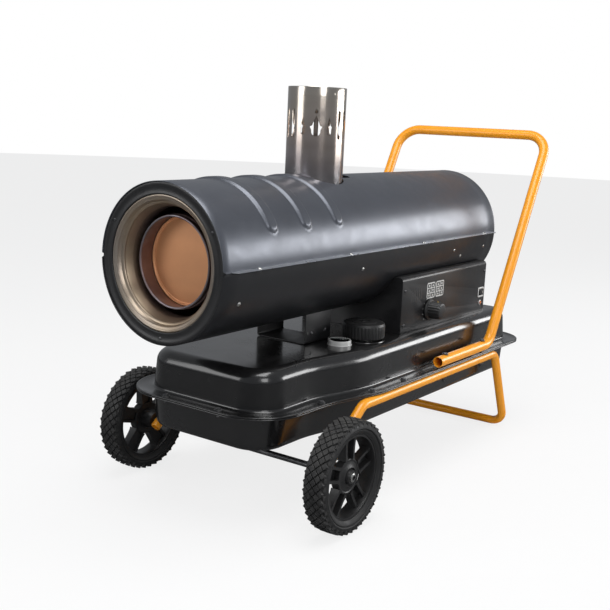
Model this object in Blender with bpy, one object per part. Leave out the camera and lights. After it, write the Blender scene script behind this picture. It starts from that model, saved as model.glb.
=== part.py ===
"""Indirect-fired kerosene heater on two wheels, with its flue, fuel tank, burner, fan and controls.

Metres, +Z up. The hot air leaves towards -Y, the controls face +X, and the wheels and the foot bar stand on
z = 0. Every piece is its own object, and touching pieces keep the gap named GAP between them.
"""

from math import asin, cos, pi, radians, sin, sqrt, tan

import bmesh
import bpy
from mathutils import Quaternion, Vector

# ---------------------------------------------------------------- general
GAP = 0.0003            # between pieces that touch on the real heater
SHEET = 0.0012          # wall of the sheet-metal casings
MACHINE_FRONT = -0.596  # front end of the barrel; the handle reaches as far the other way

# ---------------------------------------------------------------- barrel
BARREL_RADIUS = 0.144
BARREL_LENGTH = 1.051
BARREL_AXIS_Z = 0.493
BARREL_REAR = MACHINE_FRONT + BARREL_LENGTH
BARREL_BORE = BARREL_RADIUS - SHEET
SEAM_LIP = 0.011        # how far the bolted lips stand out
SEAM_LIP_SETBACK = 0.030
SEAM_LIP_CHAMFER = 0.008
SEAM_NOTCH = 0.009
RIB_FIRST_FROM_FRONT = 0.150
RIB_PITCH = 0.105
RIB_COUNT = 3
RIB_WIDTH = 0.034
RIB_HEIGHT = 0.0045
RIB_END_ANGLE = 24.0    # degrees above the seam

# ---------------------------------------------------------------- flue
FLUE_FROM_FRONT = 0.453
FLUE_Y = MACHINE_FRONT + FLUE_FROM_FRONT
FLUE_RADIUS = 0.060
FLUE_WALL = 0.001
FLUE_TOP_Z = 0.815
FLUE_OVERLAP = 0.035    # pipe below the top of the barrel
FLUE_HOLE_CLEARANCE = 0.0025
FLUE_SLOT_BEHIND = 0.030
FLUE_SLOT_HALF_WIDTH = 0.036
FLAME_HEIGHT = 0.045
FLAME_WIDTH = 0.023
FLAME_CENTRE_BELOW_TOP = 0.074
VENT_GROUPS = 3
VENT_FACING = -55.0     # direction of the first flame, degrees from +X
SMALL_FLAME_ANGLE = 26.0
SLOT_ANGLE = 51.0
SLOT_HEIGHT = 0.058
SLOT_WIDTH = 0.009

# ---------------------------------------------------------------- air outlet and heat exchanger
RING_WIDTH = 0.0235
RING_INNER_RADIUS = BARREL_RADIUS - RING_WIDTH
RING_DEPTH = 0.020
CONE_NARROWING = 0.0215
CONE_BACK_RADIUS = RING_INNER_RADIUS - CONE_NARROWING
CONE_DEPTH = 0.031
CONE_TAIL = 0.022
DRUM_CLEARANCE = 0.015
DRUM_RADIUS = CONE_BACK_RADIUS - DRUM_CLEARANCE
DRUM_WALL = 0.0015
DRUM_FROM_FRONT = 0.034
DRUM_LENGTH = 0.582
DRUM_FRONT = MACHINE_FRONT + DRUM_FROM_FRONT
DRUM_REAR = DRUM_FRONT + DRUM_LENGTH
FRONT_DISC_FROM_RIM = 0.036
CHAMBER_CLEARANCE = 0.024
CHAMBER_RADIUS = DRUM_RADIUS - CHAMBER_CLEARANCE
CHAMBER_LENGTH = 0.400
LINER_CLEARANCE = 0.020
LINER_RADIUS = BARREL_RADIUS - LINER_CLEARANCE
LINER_FROM_FRONT = 0.060
LINER_LENGTH = 0.640

# ---------------------------------------------------------------- burner, fan and motor
BURNER_CLEARANCE = 0.020
BURNER_RADIUS = CHAMBER_RADIUS - BURNER_CLEARANCE
BURNER_LENGTH = 0.075
FAN_TIP_CLEARANCE = 0.012
FAN_RADIUS = LINER_RADIUS - FAN_TIP_CLEARANCE
FAN_BLADES = 5
FAN_BLADE_WIDTH = 0.030
FAN_HUB_RADIUS = 0.026
FAN_FROM_REAR = 0.262
SHAFT_RADIUS = 0.005
MOTOR_RADIUS = 0.052
MOTOR_LENGTH = 0.120
PUMP_RADIUS = 0.032
PUMP_LENGTH = 0.042
MOTOR_BEHIND_FAN = 0.016
PUMP_MIDDLE_Y = BARREL_REAR - FAN_FROM_REAR + MOTOR_BEHIND_FAN + MOTOR_LENGTH + GAP + PUMP_LENGTH / 2
FUEL_LINE_RADIUS = 0.004
FUEL_LINE_X = -0.062
GRILLE_SETBACK = 0.008
GRILLE_THICKNESS = 0.003
GRILLE_RINGS = 5
GRILLE_SPOKES = 6

# ---------------------------------------------------------------- fuel tank
TANK_FRONT = -0.521
TANK_REAR = 0.540
TANK_HALF_WIDTH = 0.221
TANK_FRONT_HALF_WIDTH = 0.189
TANK_TAPER_START = -0.160
TANK_TAPER_END = -0.360
TANK_FRONT_CORNER = 0.105
TANK_REAR_CORNER = 0.085
TANK_SEAM_Z = 0.222
TANK_TOP_Z = 0.300
TANK_BOTTOM_Z = 0.146
TANK_LIP_WIDTH = 0.035
TANK_LIP_THICKNESS = 0.003
TANK_TOP_FILLET = 0.024
TANK_BOTTOM_FILLET = 0.014
TANK_DRAFT = 0.004

# ---------------------------------------------------------------- filler, gauge and drain
FILLER_X = 0.114
FILLER_Y = -0.096
FILLER_RADIUS = 0.030
FILLER_RISE = 0.024
CAP_RADIUS = 0.045
CAP_HEIGHT = 0.034
CAP_FLUTES = 20
GAUGE_X = 0.107
GAUGE_Y = -0.176
GAUGE_RADIUS = 0.024
GAUGE_HEIGHT = 0.010
GAUGE_STEM_RADIUS = 0.015
FLOAT_ARM_LENGTH = 0.085
FLOAT_RADIUS = 0.014
FLOAT_PIVOT_Z = TANK_TOP_Z - 0.055
PICKUP_Y = 0.110
DRAIN_Y = -0.330
DRAIN_RADIUS = 0.006

# ---------------------------------------------------------------- control box
BOX_FRONT = -0.004
BOX_REAR = 0.410
BOX_LEFT = -0.110
PANEL_X = 0.150
BOX_TOP_Z = 0.424
PANEL_BEND = 0.007
KNOB_Y = 0.120
KNOB_Z = 0.340
KNOB_RADIUS = 0.024
KNOB_LENGTH = 0.034
SWITCH_Y = 0.387
SWITCH_Z = 0.348
SWITCH_WIDTH = 0.030
SWITCH_HEIGHT = 0.025
LAMP_Z = 0.322
GLAND_X = 0.080
SADDLE_Y = -0.190
SADDLE_HALF_WIDTH = 0.062
SADDLE_LENGTH = 0.090

# ---------------------------------------------------------------- frame, handle and wheels
TUBE_RADIUS = 0.0105
TUBE_WALL = 0.0015
FRAME_INSET = 0.008
FRAME_HALF_WIDTH = TANK_HALF_WIDTH - FRAME_INSET
FRAME_FRONT_BEND_Y = -0.245
FRAME_REAR_BEND_Y = 0.360
FOOT_Y = 0.450
FOOT_BEND = 0.035
HANDLE_RADIUS = 0.013
HANDLE_FRONT_END_Y = 0.062
HANDLE_BEND_Y = 0.318
HANDLE_REAR = 0.596
HANDLE_TOP_Z = 0.747
FRAME_Z = TANK_SEAM_Z - GAP / 2 - TANK_LIP_THICKNESS - GAP - TUBE_RADIUS
HANDLE_Z = TANK_SEAM_Z + GAP / 2 + TANK_LIP_THICKNESS + GAP + HANDLE_RADIUS
HANDLE_TOP_BEND = 0.056
HANDLE_FOOT_BEND = 0.040
BOLT_RADIUS = 0.003
BOLT_HEAD_RADIUS = 0.0058
BOLT_HEAD_HEIGHT = 0.004
BOLT_CLEARANCE = 0.0004
HANDLE_BOLT_FROM_END = 0.032
HANDLE_BOLT_BEFORE_BEND = 0.012
WHEEL_RADIUS = 0.1085
WHEEL_Y = -0.366
TYRE_OUTSIDE_FRAME = 0.069
TYRE_OUTER_X = FRAME_HALF_WIDTH + TYRE_OUTSIDE_FRAME
TYRE_WIDTH = 0.048
TYRE_THICKNESS = 0.027
WHEEL_SPOKES = 5
SPOKE_THICKNESS = 0.006
SPOKE_OFFSET = 0.0115
SPOKE_SPREAD = 1.25
HUB_RADIUS = 0.020
HUB_DISC_RADIUS = 0.034
AXLE_RADIUS = 0.006
AXLE_CLEARANCE = 0.0005
AXLE_INSIDE_TYRE = 0.005
AXLE_HALF_LENGTH = TYRE_OUTER_X - AXLE_INSIDE_TYRE

ROUND = 36              # sides of the large round pieces
INSIDE_BARREL = BARREL_BORE * cos(pi / ROUND) - GAP  # clears the flats of the faceted shells


# ================================================================ modelling helpers
def clear_scene():
    for obj in list(bpy.data.objects):
        bpy.data.objects.remove(obj, do_unlink=True)


def finish(name, colour, roughness, metallic):
    """A plain painted or bare-metal material."""
    material = bpy.data.materials.new(name)
    material.use_nodes = True
    shader = material.node_tree.nodes["Principled BSDF"]
    shader.inputs["Base Color"].default_value = (*colour, 1.0)
    shader.inputs["Roughness"].default_value = roughness
    shader.inputs["Metallic"].default_value = metallic
    return material


def solid(name, points, faces, material, sharp_above=35.0):
    """One closed mesh object, its faces turned outwards, under the heater's empty."""
    mesh = bpy.data.meshes.new(name)
    mesh.from_pydata(points, [], faces)
    build = bmesh.new()
    build.from_mesh(mesh)
    bmesh.ops.recalc_face_normals(build, faces=build.faces)
    build.to_mesh(mesh)
    build.free()
    mesh.shade_smooth()
    mesh.set_sharp_from_angle(angle=radians(sharp_above))
    obj = bpy.data.objects.new(name, mesh)
    bpy.context.scene.collection.objects.link(obj)
    obj.parent = bpy.data.objects.get("heater")
    if material:
        mesh.materials.append(material)
    else:
        obj.hide_render = True
        obj.display_type = "WIRE"
    return obj


def on_axis(axis, across, up, along):
    """A point from its place along an axis, and its two places square to it."""
    places = {"X": (along, across, up), "Y": (across, along, up), "Z": (across, up, along)}
    return places[axis]


def turned(name, profile, material, axis="Z", centre=(0.0, 0.0, 0.0), sides=ROUND, phase=0.0):
    """A closed profile of (radius, place along the axis) turned a full circle about the axis."""
    points = []
    rings = []
    for radius, along in profile:
        count = 1 if radius == 0.0 else sides
        rings.append([len(points) + i for i in range(count)])
        for i in range(count):
            angle = 2 * pi * i / sides + phase
            local = on_axis(axis, radius * cos(angle), radius * sin(angle), along)
            points.append([a + b for a, b in zip(local, centre)])
    faces = []
    for i, ring in enumerate(rings):
        other = rings[(i + 1) % len(rings)]
        if len(ring) == 1 and len(other) == 1:
            continue
        for k in range(sides):
            corners = [ring[k % len(ring)], ring[(k + 1) % len(ring)]]
            corners += [other[(k + 1) % len(other)], other[k % len(other)]]
            faces.append(list(dict.fromkeys(corners)))
    return solid(name, points, faces, material)


def lofted(name, rings, material, sharp_above=35.0):
    """A skin over rings that have the same number of points, closed by a face at each end."""
    count = len(rings[0])
    points = [point for ring in rings for point in ring]
    faces = [list(range(count)), list(range(len(points) - count, len(points)))]
    for i in range(len(rings) - 1):
        for k in range(count):
            after = (k + 1) % count
            faces.append([i * count + k, i * count + after, (i + 1) * count + after, (i + 1) * count + k])
    return solid(name, points, faces, material, sharp_above)


def prism(name, outline, start, end, material, axis="Z"):
    """An outline of two-number points pushed along an axis."""
    rings = [[on_axis(axis, u, v, along) for u, v in outline] for along in (start, end)]
    return lofted(name, rings, material)


def block(name, low, high, material):
    outline = [(low[0], low[1]), (high[0], low[1]), (high[0], high[1]), (low[0], high[1])]
    return prism(name, outline, low[2], high[2], material)


def disc(name, radius, start, end, material, axis="Z", centre=(0.0, 0.0, 0.0), sides=ROUND, phase=0.0):
    profile = [(0.0, start), (radius, start), (radius, end), (0.0, end)]
    return turned(name, profile, material, axis, centre, sides, phase)


def tube(name, radius, bore, start, end, material, axis="Z", centre=(0.0, 0.0, 0.0), sides=ROUND):
    profile = [(bore, start), (radius, start), (radius, end), (bore, end)]
    return turned(name, profile, material, axis, centre, sides)


def bent_path(corners, bends, steps=5):
    """A path through corners, each inner corner rounded to its bend radius."""
    path = [Vector(corners[0])]
    for i in range(1, len(corners) - 1):
        corner = Vector(corners[i])
        before = (Vector(corners[i - 1]) - corner).normalized()
        after = (Vector(corners[i + 1]) - corner).normalized()
        half = before.angle(after) / 2
        reach = bends[i - 1] / tan(half)
        middle = corner + (before + after).normalized() * (bends[i - 1] / sin(half))
        first = corner + before * reach - middle
        last = corner + after * reach - middle
        turn = first.rotation_difference(last)
        for k in range(steps + 1):
            path.append(middle + Quaternion().slerp(turn, k / steps) @ first)
    path.append(Vector(corners[-1]))
    return path


def swept(name, path, radius, material, sides=12, bore=0.0):
    """A round bar, or with a bore a pipe open at both ends, along a path."""
    tangents = []
    for i in range(len(path)):
        ahead = path[min(i + 1, len(path) - 1)] - path[i]
        behind = path[i] - path[max(i - 1, 0)]
        tangents.append((ahead.normalized() + behind.normalized()).normalized())
    side = tangents[0].orthogonal().normalized()
    frames = []
    for i, tangent in enumerate(tangents):
        if i:
            side = tangents[i - 1].rotation_difference(tangent) @ side
        frames.append((path[i], side, tangent.cross(side)))

    def ring(place, across, up, size):
        angles = [2 * pi * (k + 0.5) / sides for k in range(sides)]
        return [place + across * (size * cos(a)) + up * (size * sin(a)) for a in angles]

    outer = [ring(*frame, radius) for frame in frames]
    if not bore:
        return lofted(name, outer, material)
    inner = [ring(*frame, bore) for frame in frames]
    rings = outer + inner[::-1]
    points = [point for one in rings for point in one]
    faces = []
    for i in range(len(rings)):
        after = (i + 1) % len(rings)
        for k in range(sides):
            turn = (k + 1) % sides
            faces.append([i * sides + k, i * sides + turn, after * sides + turn, after * sides + k])
    return solid(name, points, faces, material)


def cut(obj, *cutters):
    for cutter in cutters:
        modifier = obj.modifiers.new(cutter.name, "BOOLEAN")
        modifier.operation = "DIFFERENCE"
        modifier.object = cutter


def weld(obj, *others):
    """Joins helper shapes that overlap the object to it."""
    for other in others:
        modifier = obj.modifiers.new(other.name, "BOOLEAN")
        modifier.operation = "UNION"
        modifier.object = other


def hinge_at(obj, place):
    """Moves an object's origin to its joint, and leaves its shape where it is."""
    obj.data.transform(obj.matrix_basis.Translation(-Vector(place)))
    obj.location = place


def hole(name, radius, start, end, axis="Z", centre=(0.0, 0.0, 0.0), sides=20):
    """A round cutter whose flats, not its corners, stand at the radius."""
    return disc(name, radius / cos(pi / sides), start, end, None, axis, centre, sides, 0.1)


def arc(centre_u, centre_v, radius, start, end, steps):
    """Points of an arc, its angles in degrees."""
    angles = [radians(start + (end - start) * i / steps) for i in range(steps + 1)]
    return [(centre_u + radius * cos(a), centre_v + radius * sin(a)) for a in angles]


# ================================================================ barrel casings
def rib_lift(y, angle):
    """Height of the pressed ribs above the shell."""
    above_seam = min(angle, 180.0 - angle) - RIB_END_ANGLE
    fade = min(max(above_seam / 12.0, 0.0), 1.0)
    for i in range(RIB_COUNT):
        middle = MACHINE_FRONT + RIB_FIRST_FROM_FRONT + i * RIB_PITCH
        if abs(y - middle) < RIB_WIDTH / 2 - 1e-6:
            return RIB_HEIGHT * fade
    return 0.0


def shell_section(y, upper, lift):
    """The half-circle of sheet at one place along the barrel, outer face first."""
    seam = GAP / 2
    steps = ROUND // 2
    section = []
    for radius, order in ((BARREL_RADIUS, range(steps + 1)), (BARREL_BORE, range(steps, -1, -1))):
        first = asin(seam / radius)
        for i in order:
            angle = first + (pi - 2 * first) * i / steps
            reach = radius + lift(y, 180.0 * i / steps)
            height = max(reach * sin(angle), seam)
            section.append((reach * cos(angle), y, BARREL_AXIS_Z + (height if upper else -height)))
    return section


def seam_lips(name, upper):
    """The two lips along the seam, with chamfered ends, as helpers to weld on."""
    inner = BARREL_BORE
    outer = BARREL_RADIUS + SEAM_LIP
    front = MACHINE_FRONT + SEAM_LIP_SETBACK
    rear = BARREL_REAR - SEAM_LIP_CHAMFER
    low, high = GAP / 2, GAP / 2 + SHEET
    if not upper:
        low, high = -high, -low
    lips = []
    for side in (-1, 1):
        outline = [(inner, front - SEAM_LIP_CHAMFER), (BARREL_RADIUS, front - SEAM_LIP_CHAMFER)]
        outline += [(outer, front), (outer, rear - SEAM_LIP_CHAMFER), (BARREL_RADIUS, rear), (inner, rear)]
        outline = [(side * x, y) for x, y in outline]
        label = f"{name}_{'left' if side < 0 else 'right'}"
        lips.append(prism(label, outline, BARREL_AXIS_Z + low, BARREL_AXIS_Z + high, None))
    return lips


def seam_notch():
    """A small V across the barrel's front end, where the two shells meet."""
    depth = SEAM_NOTCH
    outline = [(MACHINE_FRONT - depth, BARREL_AXIS_Z - depth), (MACHINE_FRONT + depth, BARREL_AXIS_Z)]
    outline.append((MACHINE_FRONT - depth, BARREL_AXIS_Z + depth))
    return prism("seam_notch", outline, -2 * BARREL_RADIUS, 2 * BARREL_RADIUS, None, "X")


def flue_opening():
    """The hole in the upper shell: round for the pipe, with an oblong slot behind it."""
    low = BARREL_AXIS_Z
    high = BARREL_AXIS_Z + BARREL_RADIUS + 2 * RIB_HEIGHT + 0.01
    radius = FLUE_RADIUS + FLUE_HOLE_CLEARANCE
    corner = 0.015
    far = FLUE_Y + FLUE_RADIUS + FLUE_SLOT_BEHIND
    reach = FLUE_SLOT_HALF_WIDTH
    start = FLUE_Y + sqrt(radius**2 - reach**2)
    meet = 180 * asin(reach / radius) / pi
    outline = arc(0, FLUE_Y, radius, 90 + meet, 450 - meet, 36)
    outline += arc(reach - corner, far - corner, corner, 0, 90, 4)
    outline += arc(-reach + corner, far - corner, corner, 90, 180, 4)
    assert start < far
    return prism("flue_opening", outline, low, high, None)


def barrel_shells(steel):
    ribs = [MACHINE_FRONT + RIB_FIRST_FROM_FRONT + i * RIB_PITCH for i in range(RIB_COUNT)]
    stations = [MACHINE_FRONT, BARREL_REAR]
    slope = 0.006
    for middle in ribs:
        stations += [middle - RIB_WIDTH / 2, middle - RIB_WIDTH / 2 + slope]
        stations += [middle + RIB_WIDTH / 2 - slope, middle + RIB_WIDTH / 2]
    sections = [shell_section(y, True, rib_lift) for y in sorted(stations)]
    upper = lofted("upper_shell", sections, steel)
    notch = seam_notch()
    weld(upper, *seam_lips("upper_lip", True))
    cut(upper, flue_opening(), notch)
    plain = [shell_section(y, False, lambda y, angle: 0.0) for y in (MACHINE_FRONT, BARREL_REAR)]
    lower = lofted("lower_shell", plain, steel)
    weld(lower, *seam_lips("lower_lip", False))
    line_hole = hole("fuel_line_hole", FUEL_LINE_RADIUS + 0.002, BARREL_AXIS_Z - BARREL_RADIUS - 0.01,
                     BARREL_AXIS_Z, centre=(FUEL_LINE_X, PUMP_MIDDLE_Y, 0.0), sides=12)
    cut(lower, notch, line_hole)


def air_outlet(black, stainless):
    fit = BARREL_BORE - GAP
    front = MACHINE_FRONT + 0.002
    wall = 0.001
    ring = [(RING_INNER_RADIUS, front + 0.003), (fit, front), (fit, front + RING_DEPTH)]
    ring += [(fit - wall, front + RING_DEPTH), (fit - wall, front + wall)]
    ring += [(RING_INNER_RADIUS, front + 0.004)]
    turned("front_ring", ring, black, "Y", (0.0, 0.0, BARREL_AXIS_Z))

    start = MACHINE_FRONT + 0.004
    rim = RING_INNER_RADIUS - GAP
    step = (rim - CONE_BACK_RADIUS) / 4
    skin = [(rim, start), (rim - 1.5 * step, start), (rim - 2 * step, start + 0.4 * CONE_DEPTH)]
    skin += [(rim - 3.4 * step, start + 0.46 * CONE_DEPTH), (CONE_BACK_RADIUS, start + CONE_DEPTH)]
    skin.append((CONE_BACK_RADIUS, start + CONE_DEPTH + CONE_TAIL))
    back = [(CONE_BACK_RADIUS + 0.0008, start + CONE_DEPTH + CONE_TAIL)]
    back += [(CONE_BACK_RADIUS + 0.0008, start + CONE_DEPTH + 0.002), (rim - 1.2 * step, start + 0.0115)]
    back.append((rim, start + 0.009))
    turned("outlet_cone", skin + back, stainless, "Y", (0.0, 0.0, BARREL_AXIS_Z))


# ================================================================ heat exchanger and flue


def heat_exchanger(steel, hot_steel):
    centre = (0.0, 0.0, BARREL_AXIS_Z)
    mouth = BURNER_RADIUS + GAP
    bore = DRUM_RADIUS - DRUM_WALL
    profile = [(bore, DRUM_FRONT), (DRUM_RADIUS, DRUM_FRONT), (DRUM_RADIUS, DRUM_REAR), (mouth, DRUM_REAR)]
    profile += [(mouth, DRUM_REAR - DRUM_WALL), (bore, DRUM_REAR - DRUM_WALL)]
    drum = turned("exchanger_drum", profile, steel, "Y", centre)
    neck_bore = FLUE_RADIUS - FLUE_WALL - GAP - DRUM_WALL
    port = hole("flue_port", neck_bore, BARREL_AXIS_Z, BARREL_AXIS_Z + BARREL_RADIUS,
                centre=(0.0, FLUE_Y, 0.0), sides=28)
    cut(drum, port)

    disc_y = DRUM_FRONT + FRONT_DISC_FROM_RIM
    rim = bore - GAP
    dish = [(0.0, disc_y), (rim - 0.004, disc_y), (rim - 0.002, disc_y - 0.004), (rim, disc_y - 0.004)]
    dish += [(rim, disc_y + DRUM_WALL), (0.0, disc_y + DRUM_WALL)]
    turned("front_disc", dish, hot_steel, "Y", centre)

    chamber_rear = DRUM_REAR - DRUM_WALL - GAP
    chamber_bore = CHAMBER_RADIUS - DRUM_WALL
    foot = DRUM_RADIUS - DRUM_WALL - GAP
    chamber_front = chamber_rear - CHAMBER_LENGTH
    profile = [(chamber_bore, chamber_front), (CHAMBER_RADIUS, chamber_front)]
    profile += [(CHAMBER_RADIUS, chamber_rear - DRUM_WALL), (foot, chamber_rear - DRUM_WALL)]
    profile += [(foot, chamber_rear), (chamber_bore, chamber_rear)]
    turned("combustion_chamber", profile, hot_steel, "Y", centre)


def liner(steel):
    front = MACHINE_FRONT + LINER_FROM_FRONT
    body = tube("air_liner", LINER_RADIUS, LINER_RADIUS - 0.0008, front, front + LINER_LENGTH, steel, "Y",
                (0.0, 0.0, BARREL_AXIS_Z))
    opening = hole("liner_opening", FLUE_RADIUS + 0.004, BARREL_AXIS_Z, BARREL_AXIS_Z + BARREL_RADIUS,
                   centre=(0.0, FLUE_Y, 0.0), sides=28)
    cut(body, opening)


def flame_outline(width, height):
    """A flame: a round foot, shoulders, and a point at the top. Starts at the foot, about its middle."""
    right = arc(0.0, -0.5 * height + 0.42 * width, 0.42 * width, -90, 0, 3)
    right += [(0.5 * width, -0.5 * height + 0.95 * width), (0.33 * width, -0.5 * height + 1.05 * width)]
    right += [(0.27 * width, 0.28 * height), (0.0, 0.5 * height)]
    left = [(-u, v) for u, v in reversed(right[1:-1])]
    return right + left


def slot_outline(width, height):
    end = height / 2 - width / 2
    return arc(0.0, -end, width / 2, 180, 360, 3) + arc(0.0, end, width / 2, 0, 180, 3)


def radial_cutter(name, outline, angle, middle_z):
    """A cutter that leaves the flue's axis in one direction, so that it cuts one side of the pipe."""
    out = Vector((cos(angle), sin(angle), 0.0))
    across = Vector((-sin(angle), cos(angle), 0.0))
    base = Vector((0.0, FLUE_Y, middle_z))
    rings = []
    for reach in (0.8 * FLUE_RADIUS, 1.2 * FLUE_RADIUS):
        rings.append([base + out * reach + across * u + Vector((0.0, 0.0, v)) for u, v in outline])
    return lofted(name, rings, None)


def flue(stainless, steel):
    low = BARREL_AXIS_Z + BARREL_RADIUS - FLUE_OVERLAP
    pipe = tube("flue_pipe", FLUE_RADIUS, FLUE_RADIUS - FLUE_WALL, low, FLUE_TOP_Z, stainless,
                centre=(0.0, FLUE_Y, 0.0), sides=32)
    middle = FLUE_TOP_Z - FLAME_CENTRE_BELOW_TOP
    flame = flame_outline(FLAME_WIDTH, FLAME_HEIGHT)
    small = flame_outline(0.5 * FLAME_WIDTH, 0.8 * FLAME_HEIGHT)
    slot = slot_outline(SLOT_WIDTH, SLOT_HEIGHT)
    shapes = [("flame", flame, 0.0), ("flame_before", small, -SMALL_FLAME_ANGLE)]
    shapes += [("flame_after", small, SMALL_FLAME_ANGLE), ("slot_before", slot, -SLOT_ANGLE)]
    shapes.append(("slot_after", slot, SLOT_ANGLE))
    for group in range(VENT_GROUPS):
        for label, outline, offset in shapes:
            angle = radians(VENT_FACING + 360.0 * group / VENT_GROUPS + offset)
            cut(pipe, radial_cutter(f"{label}_{group}", outline, angle, middle))

    outer = (FLUE_RADIUS - FLUE_WALL) * cos(pi / 32) - GAP
    top = BARREL_AXIS_Z + BARREL_RADIUS + 0.012
    collar = tube("flue_collar", outer, outer - DRUM_WALL, BARREL_AXIS_Z, top, steel,
                  centre=(0.0, FLUE_Y, 0.0), sides=28)
    saddle_cut = hole("collar_saddle", DRUM_RADIUS + GAP, FLUE_Y - BARREL_RADIUS,
                      FLUE_Y + BARREL_RADIUS, "Y", (0.0, 0.0, BARREL_AXIS_Z), 64)
    cut(collar, saddle_cut)


# ================================================================ burner, fan and motor


def burner(cast, brass, ceramic):
    centre = (0.0, 0.0, BARREL_AXIS_Z)
    front = DRUM_REAR - 0.030
    rear = front + BURNER_LENGTH
    wall = 0.002
    profile = [(BURNER_RADIUS - wall, front), (BURNER_RADIUS, front), (BURNER_RADIUS, DRUM_REAR + GAP)]
    profile += [(BURNER_RADIUS + 0.012, DRUM_REAR + GAP), (BURNER_RADIUS + 0.012, DRUM_REAR + 0.003)]
    profile += [(BURNER_RADIUS, DRUM_REAR + 0.003), (BURNER_RADIUS, rear), (BURNER_RADIUS - wall, rear)]
    turned("burner_tube", profile, cast, "Y", centre, sides=20)

    plate_y = front + 0.028
    plate = tube("air_diffuser", BURNER_RADIUS - wall - GAP, 0.011 + GAP, plate_y, plate_y + 0.002, cast,
                 "Y", centre, sides=20)
    for i in range(6):
        angle = 2 * pi * i / 6 + pi / 6
        middle = (0.024 * cos(angle), 0.0, BARREL_AXIS_Z + 0.024 * sin(angle))
        cut(plate, hole(f"diffuser_hole_{i}", 0.006, plate_y - 0.01, plate_y + 0.01, "Y", middle, 8))

    body = [(0.0, plate_y - 0.012), (0.004, plate_y - 0.012), (0.008, plate_y - 0.004)]
    body += [(0.011, plate_y - 0.004), (0.011, rear + 0.010), (0.0, rear + 0.010)]
    turned("fuel_nozzle", body, brass, "Y", centre, sides=12)
    for side in (-1, 1):
        name = "electrode_left" if side < 0 else "electrode_right"
        x = 0.024 * cos(pi / 6) * side
        z = BARREL_AXIS_Z + 0.024 * sin(pi / 6)
        rod = [(0.0, plate_y - 0.018), (0.0015, plate_y - 0.018), (0.0015, plate_y - 0.008)]
        rod += [(0.0045, plate_y - 0.006), (0.0045, rear + 0.004), (0.0, rear + 0.004)]
        turned(name, rod, ceramic, "Y", (x, 0.0, z), sides=12)


def fan_and_motor(plastic, steel, cast):
    centre = (0.0, 0.0, BARREL_AXIS_Z)
    fan_y = BARREL_REAR - FAN_FROM_REAR
    half = FAN_BLADE_WIDTH / 2
    bore = SHAFT_RADIUS + GAP
    fan = tube("fan", FAN_HUB_RADIUS, bore, fan_y - half, fan_y + half, plastic, "Y", centre, sides=30)
    twist = radians(38)
    for i in range(FAN_BLADES):
        angle = 2 * pi * i / FAN_BLADES
        out = Vector((cos(angle), 0.0, sin(angle)))
        across = Vector((-sin(angle), 0.0, cos(angle)))
        back = Vector((0.0, 1.0, 0.0))
        rings = []
        for reach, width, pitch in ((0.8 * FAN_HUB_RADIUS, 0.030, 0.9), (0.6 * FAN_RADIUS, 0.052, 0.75),
                                    (FAN_RADIUS, 0.066, 0.6)):
            lean = twist * pitch
            chord = (across * cos(lean) + back * sin(lean)) * (width / 2)
            chord = chord * min(1.0, half * 0.9 / (sin(lean) * width / 2))
            skin = (back * cos(lean) - across * sin(lean)) * 0.0008
            middle = out * reach + Vector((0.0, fan_y, BARREL_AXIS_Z))
            rings.append([middle - chord - skin, middle + chord - skin,
                          middle + chord + skin, middle - chord + skin])
        weld(fan, lofted(f"fan_blade_{i}", rings, None))
    hinge_at(fan, (0.0, fan_y, BARREL_AXIS_Z))

    motor_front = fan_y + MOTOR_BEHIND_FAN
    shaft = disc("motor_shaft", SHAFT_RADIUS, fan_y - half - 0.006, motor_front + MOTOR_LENGTH - 0.01, steel,
                 "Y", centre, sides=16)
    hinge_at(shaft, (0.0, fan_y, BARREL_AXIS_Z))
    rear = motor_front + MOTOR_LENGTH
    round_over = 0.008
    shell = [(bore, motor_front), (MOTOR_RADIUS - round_over, motor_front)]
    shell += [(MOTOR_RADIUS, motor_front + round_over), (MOTOR_RADIUS, rear - round_over)]
    shell += [(MOTOR_RADIUS - round_over, rear), (0.0, rear), (0.0, rear - 0.008), (bore, rear - 0.008)]
    turned("fan_motor", shell, cast, "Y", centre, sides=24)
    pump = disc("fuel_pump", PUMP_RADIUS, rear + GAP, rear + GAP + PUMP_LENGTH, cast, "Y", centre, sides=24)
    boss = disc("pump_boss", 0.008, -PUMP_RADIUS - 0.010, 0.0, None, "X",
                (0.0, PUMP_MIDDLE_Y, BARREL_AXIS_Z), sides=12)
    weld(pump, boss)

    base = BARREL_AXIS_Z - BARREL_RADIUS + SHEET
    plate = 0.003
    bracket_y = motor_front + MOTOR_LENGTH / 2
    spread = 0.070
    reach = INSIDE_BARREL
    under = (MOTOR_RADIUS + GAP) / cos(pi / 24)
    outline = arc(0.0, BARREL_AXIS_Z, under, 0, -180, 12)
    low = BARREL_AXIS_Z - sqrt(reach**2 - spread**2)
    angle = 180 * asin(spread / reach) / pi
    outline += [(-under - 0.012, BARREL_AXIS_Z)]
    outline += arc(0.0, BARREL_AXIS_Z, reach, -90 - angle, -90 + angle, 12)
    outline += [(under + 0.012, BARREL_AXIS_Z)]
    assert base < low
    prism("motor_bracket", outline, bracket_y - plate / 2, bracket_y + plate / 2, steel, "Y")


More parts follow.
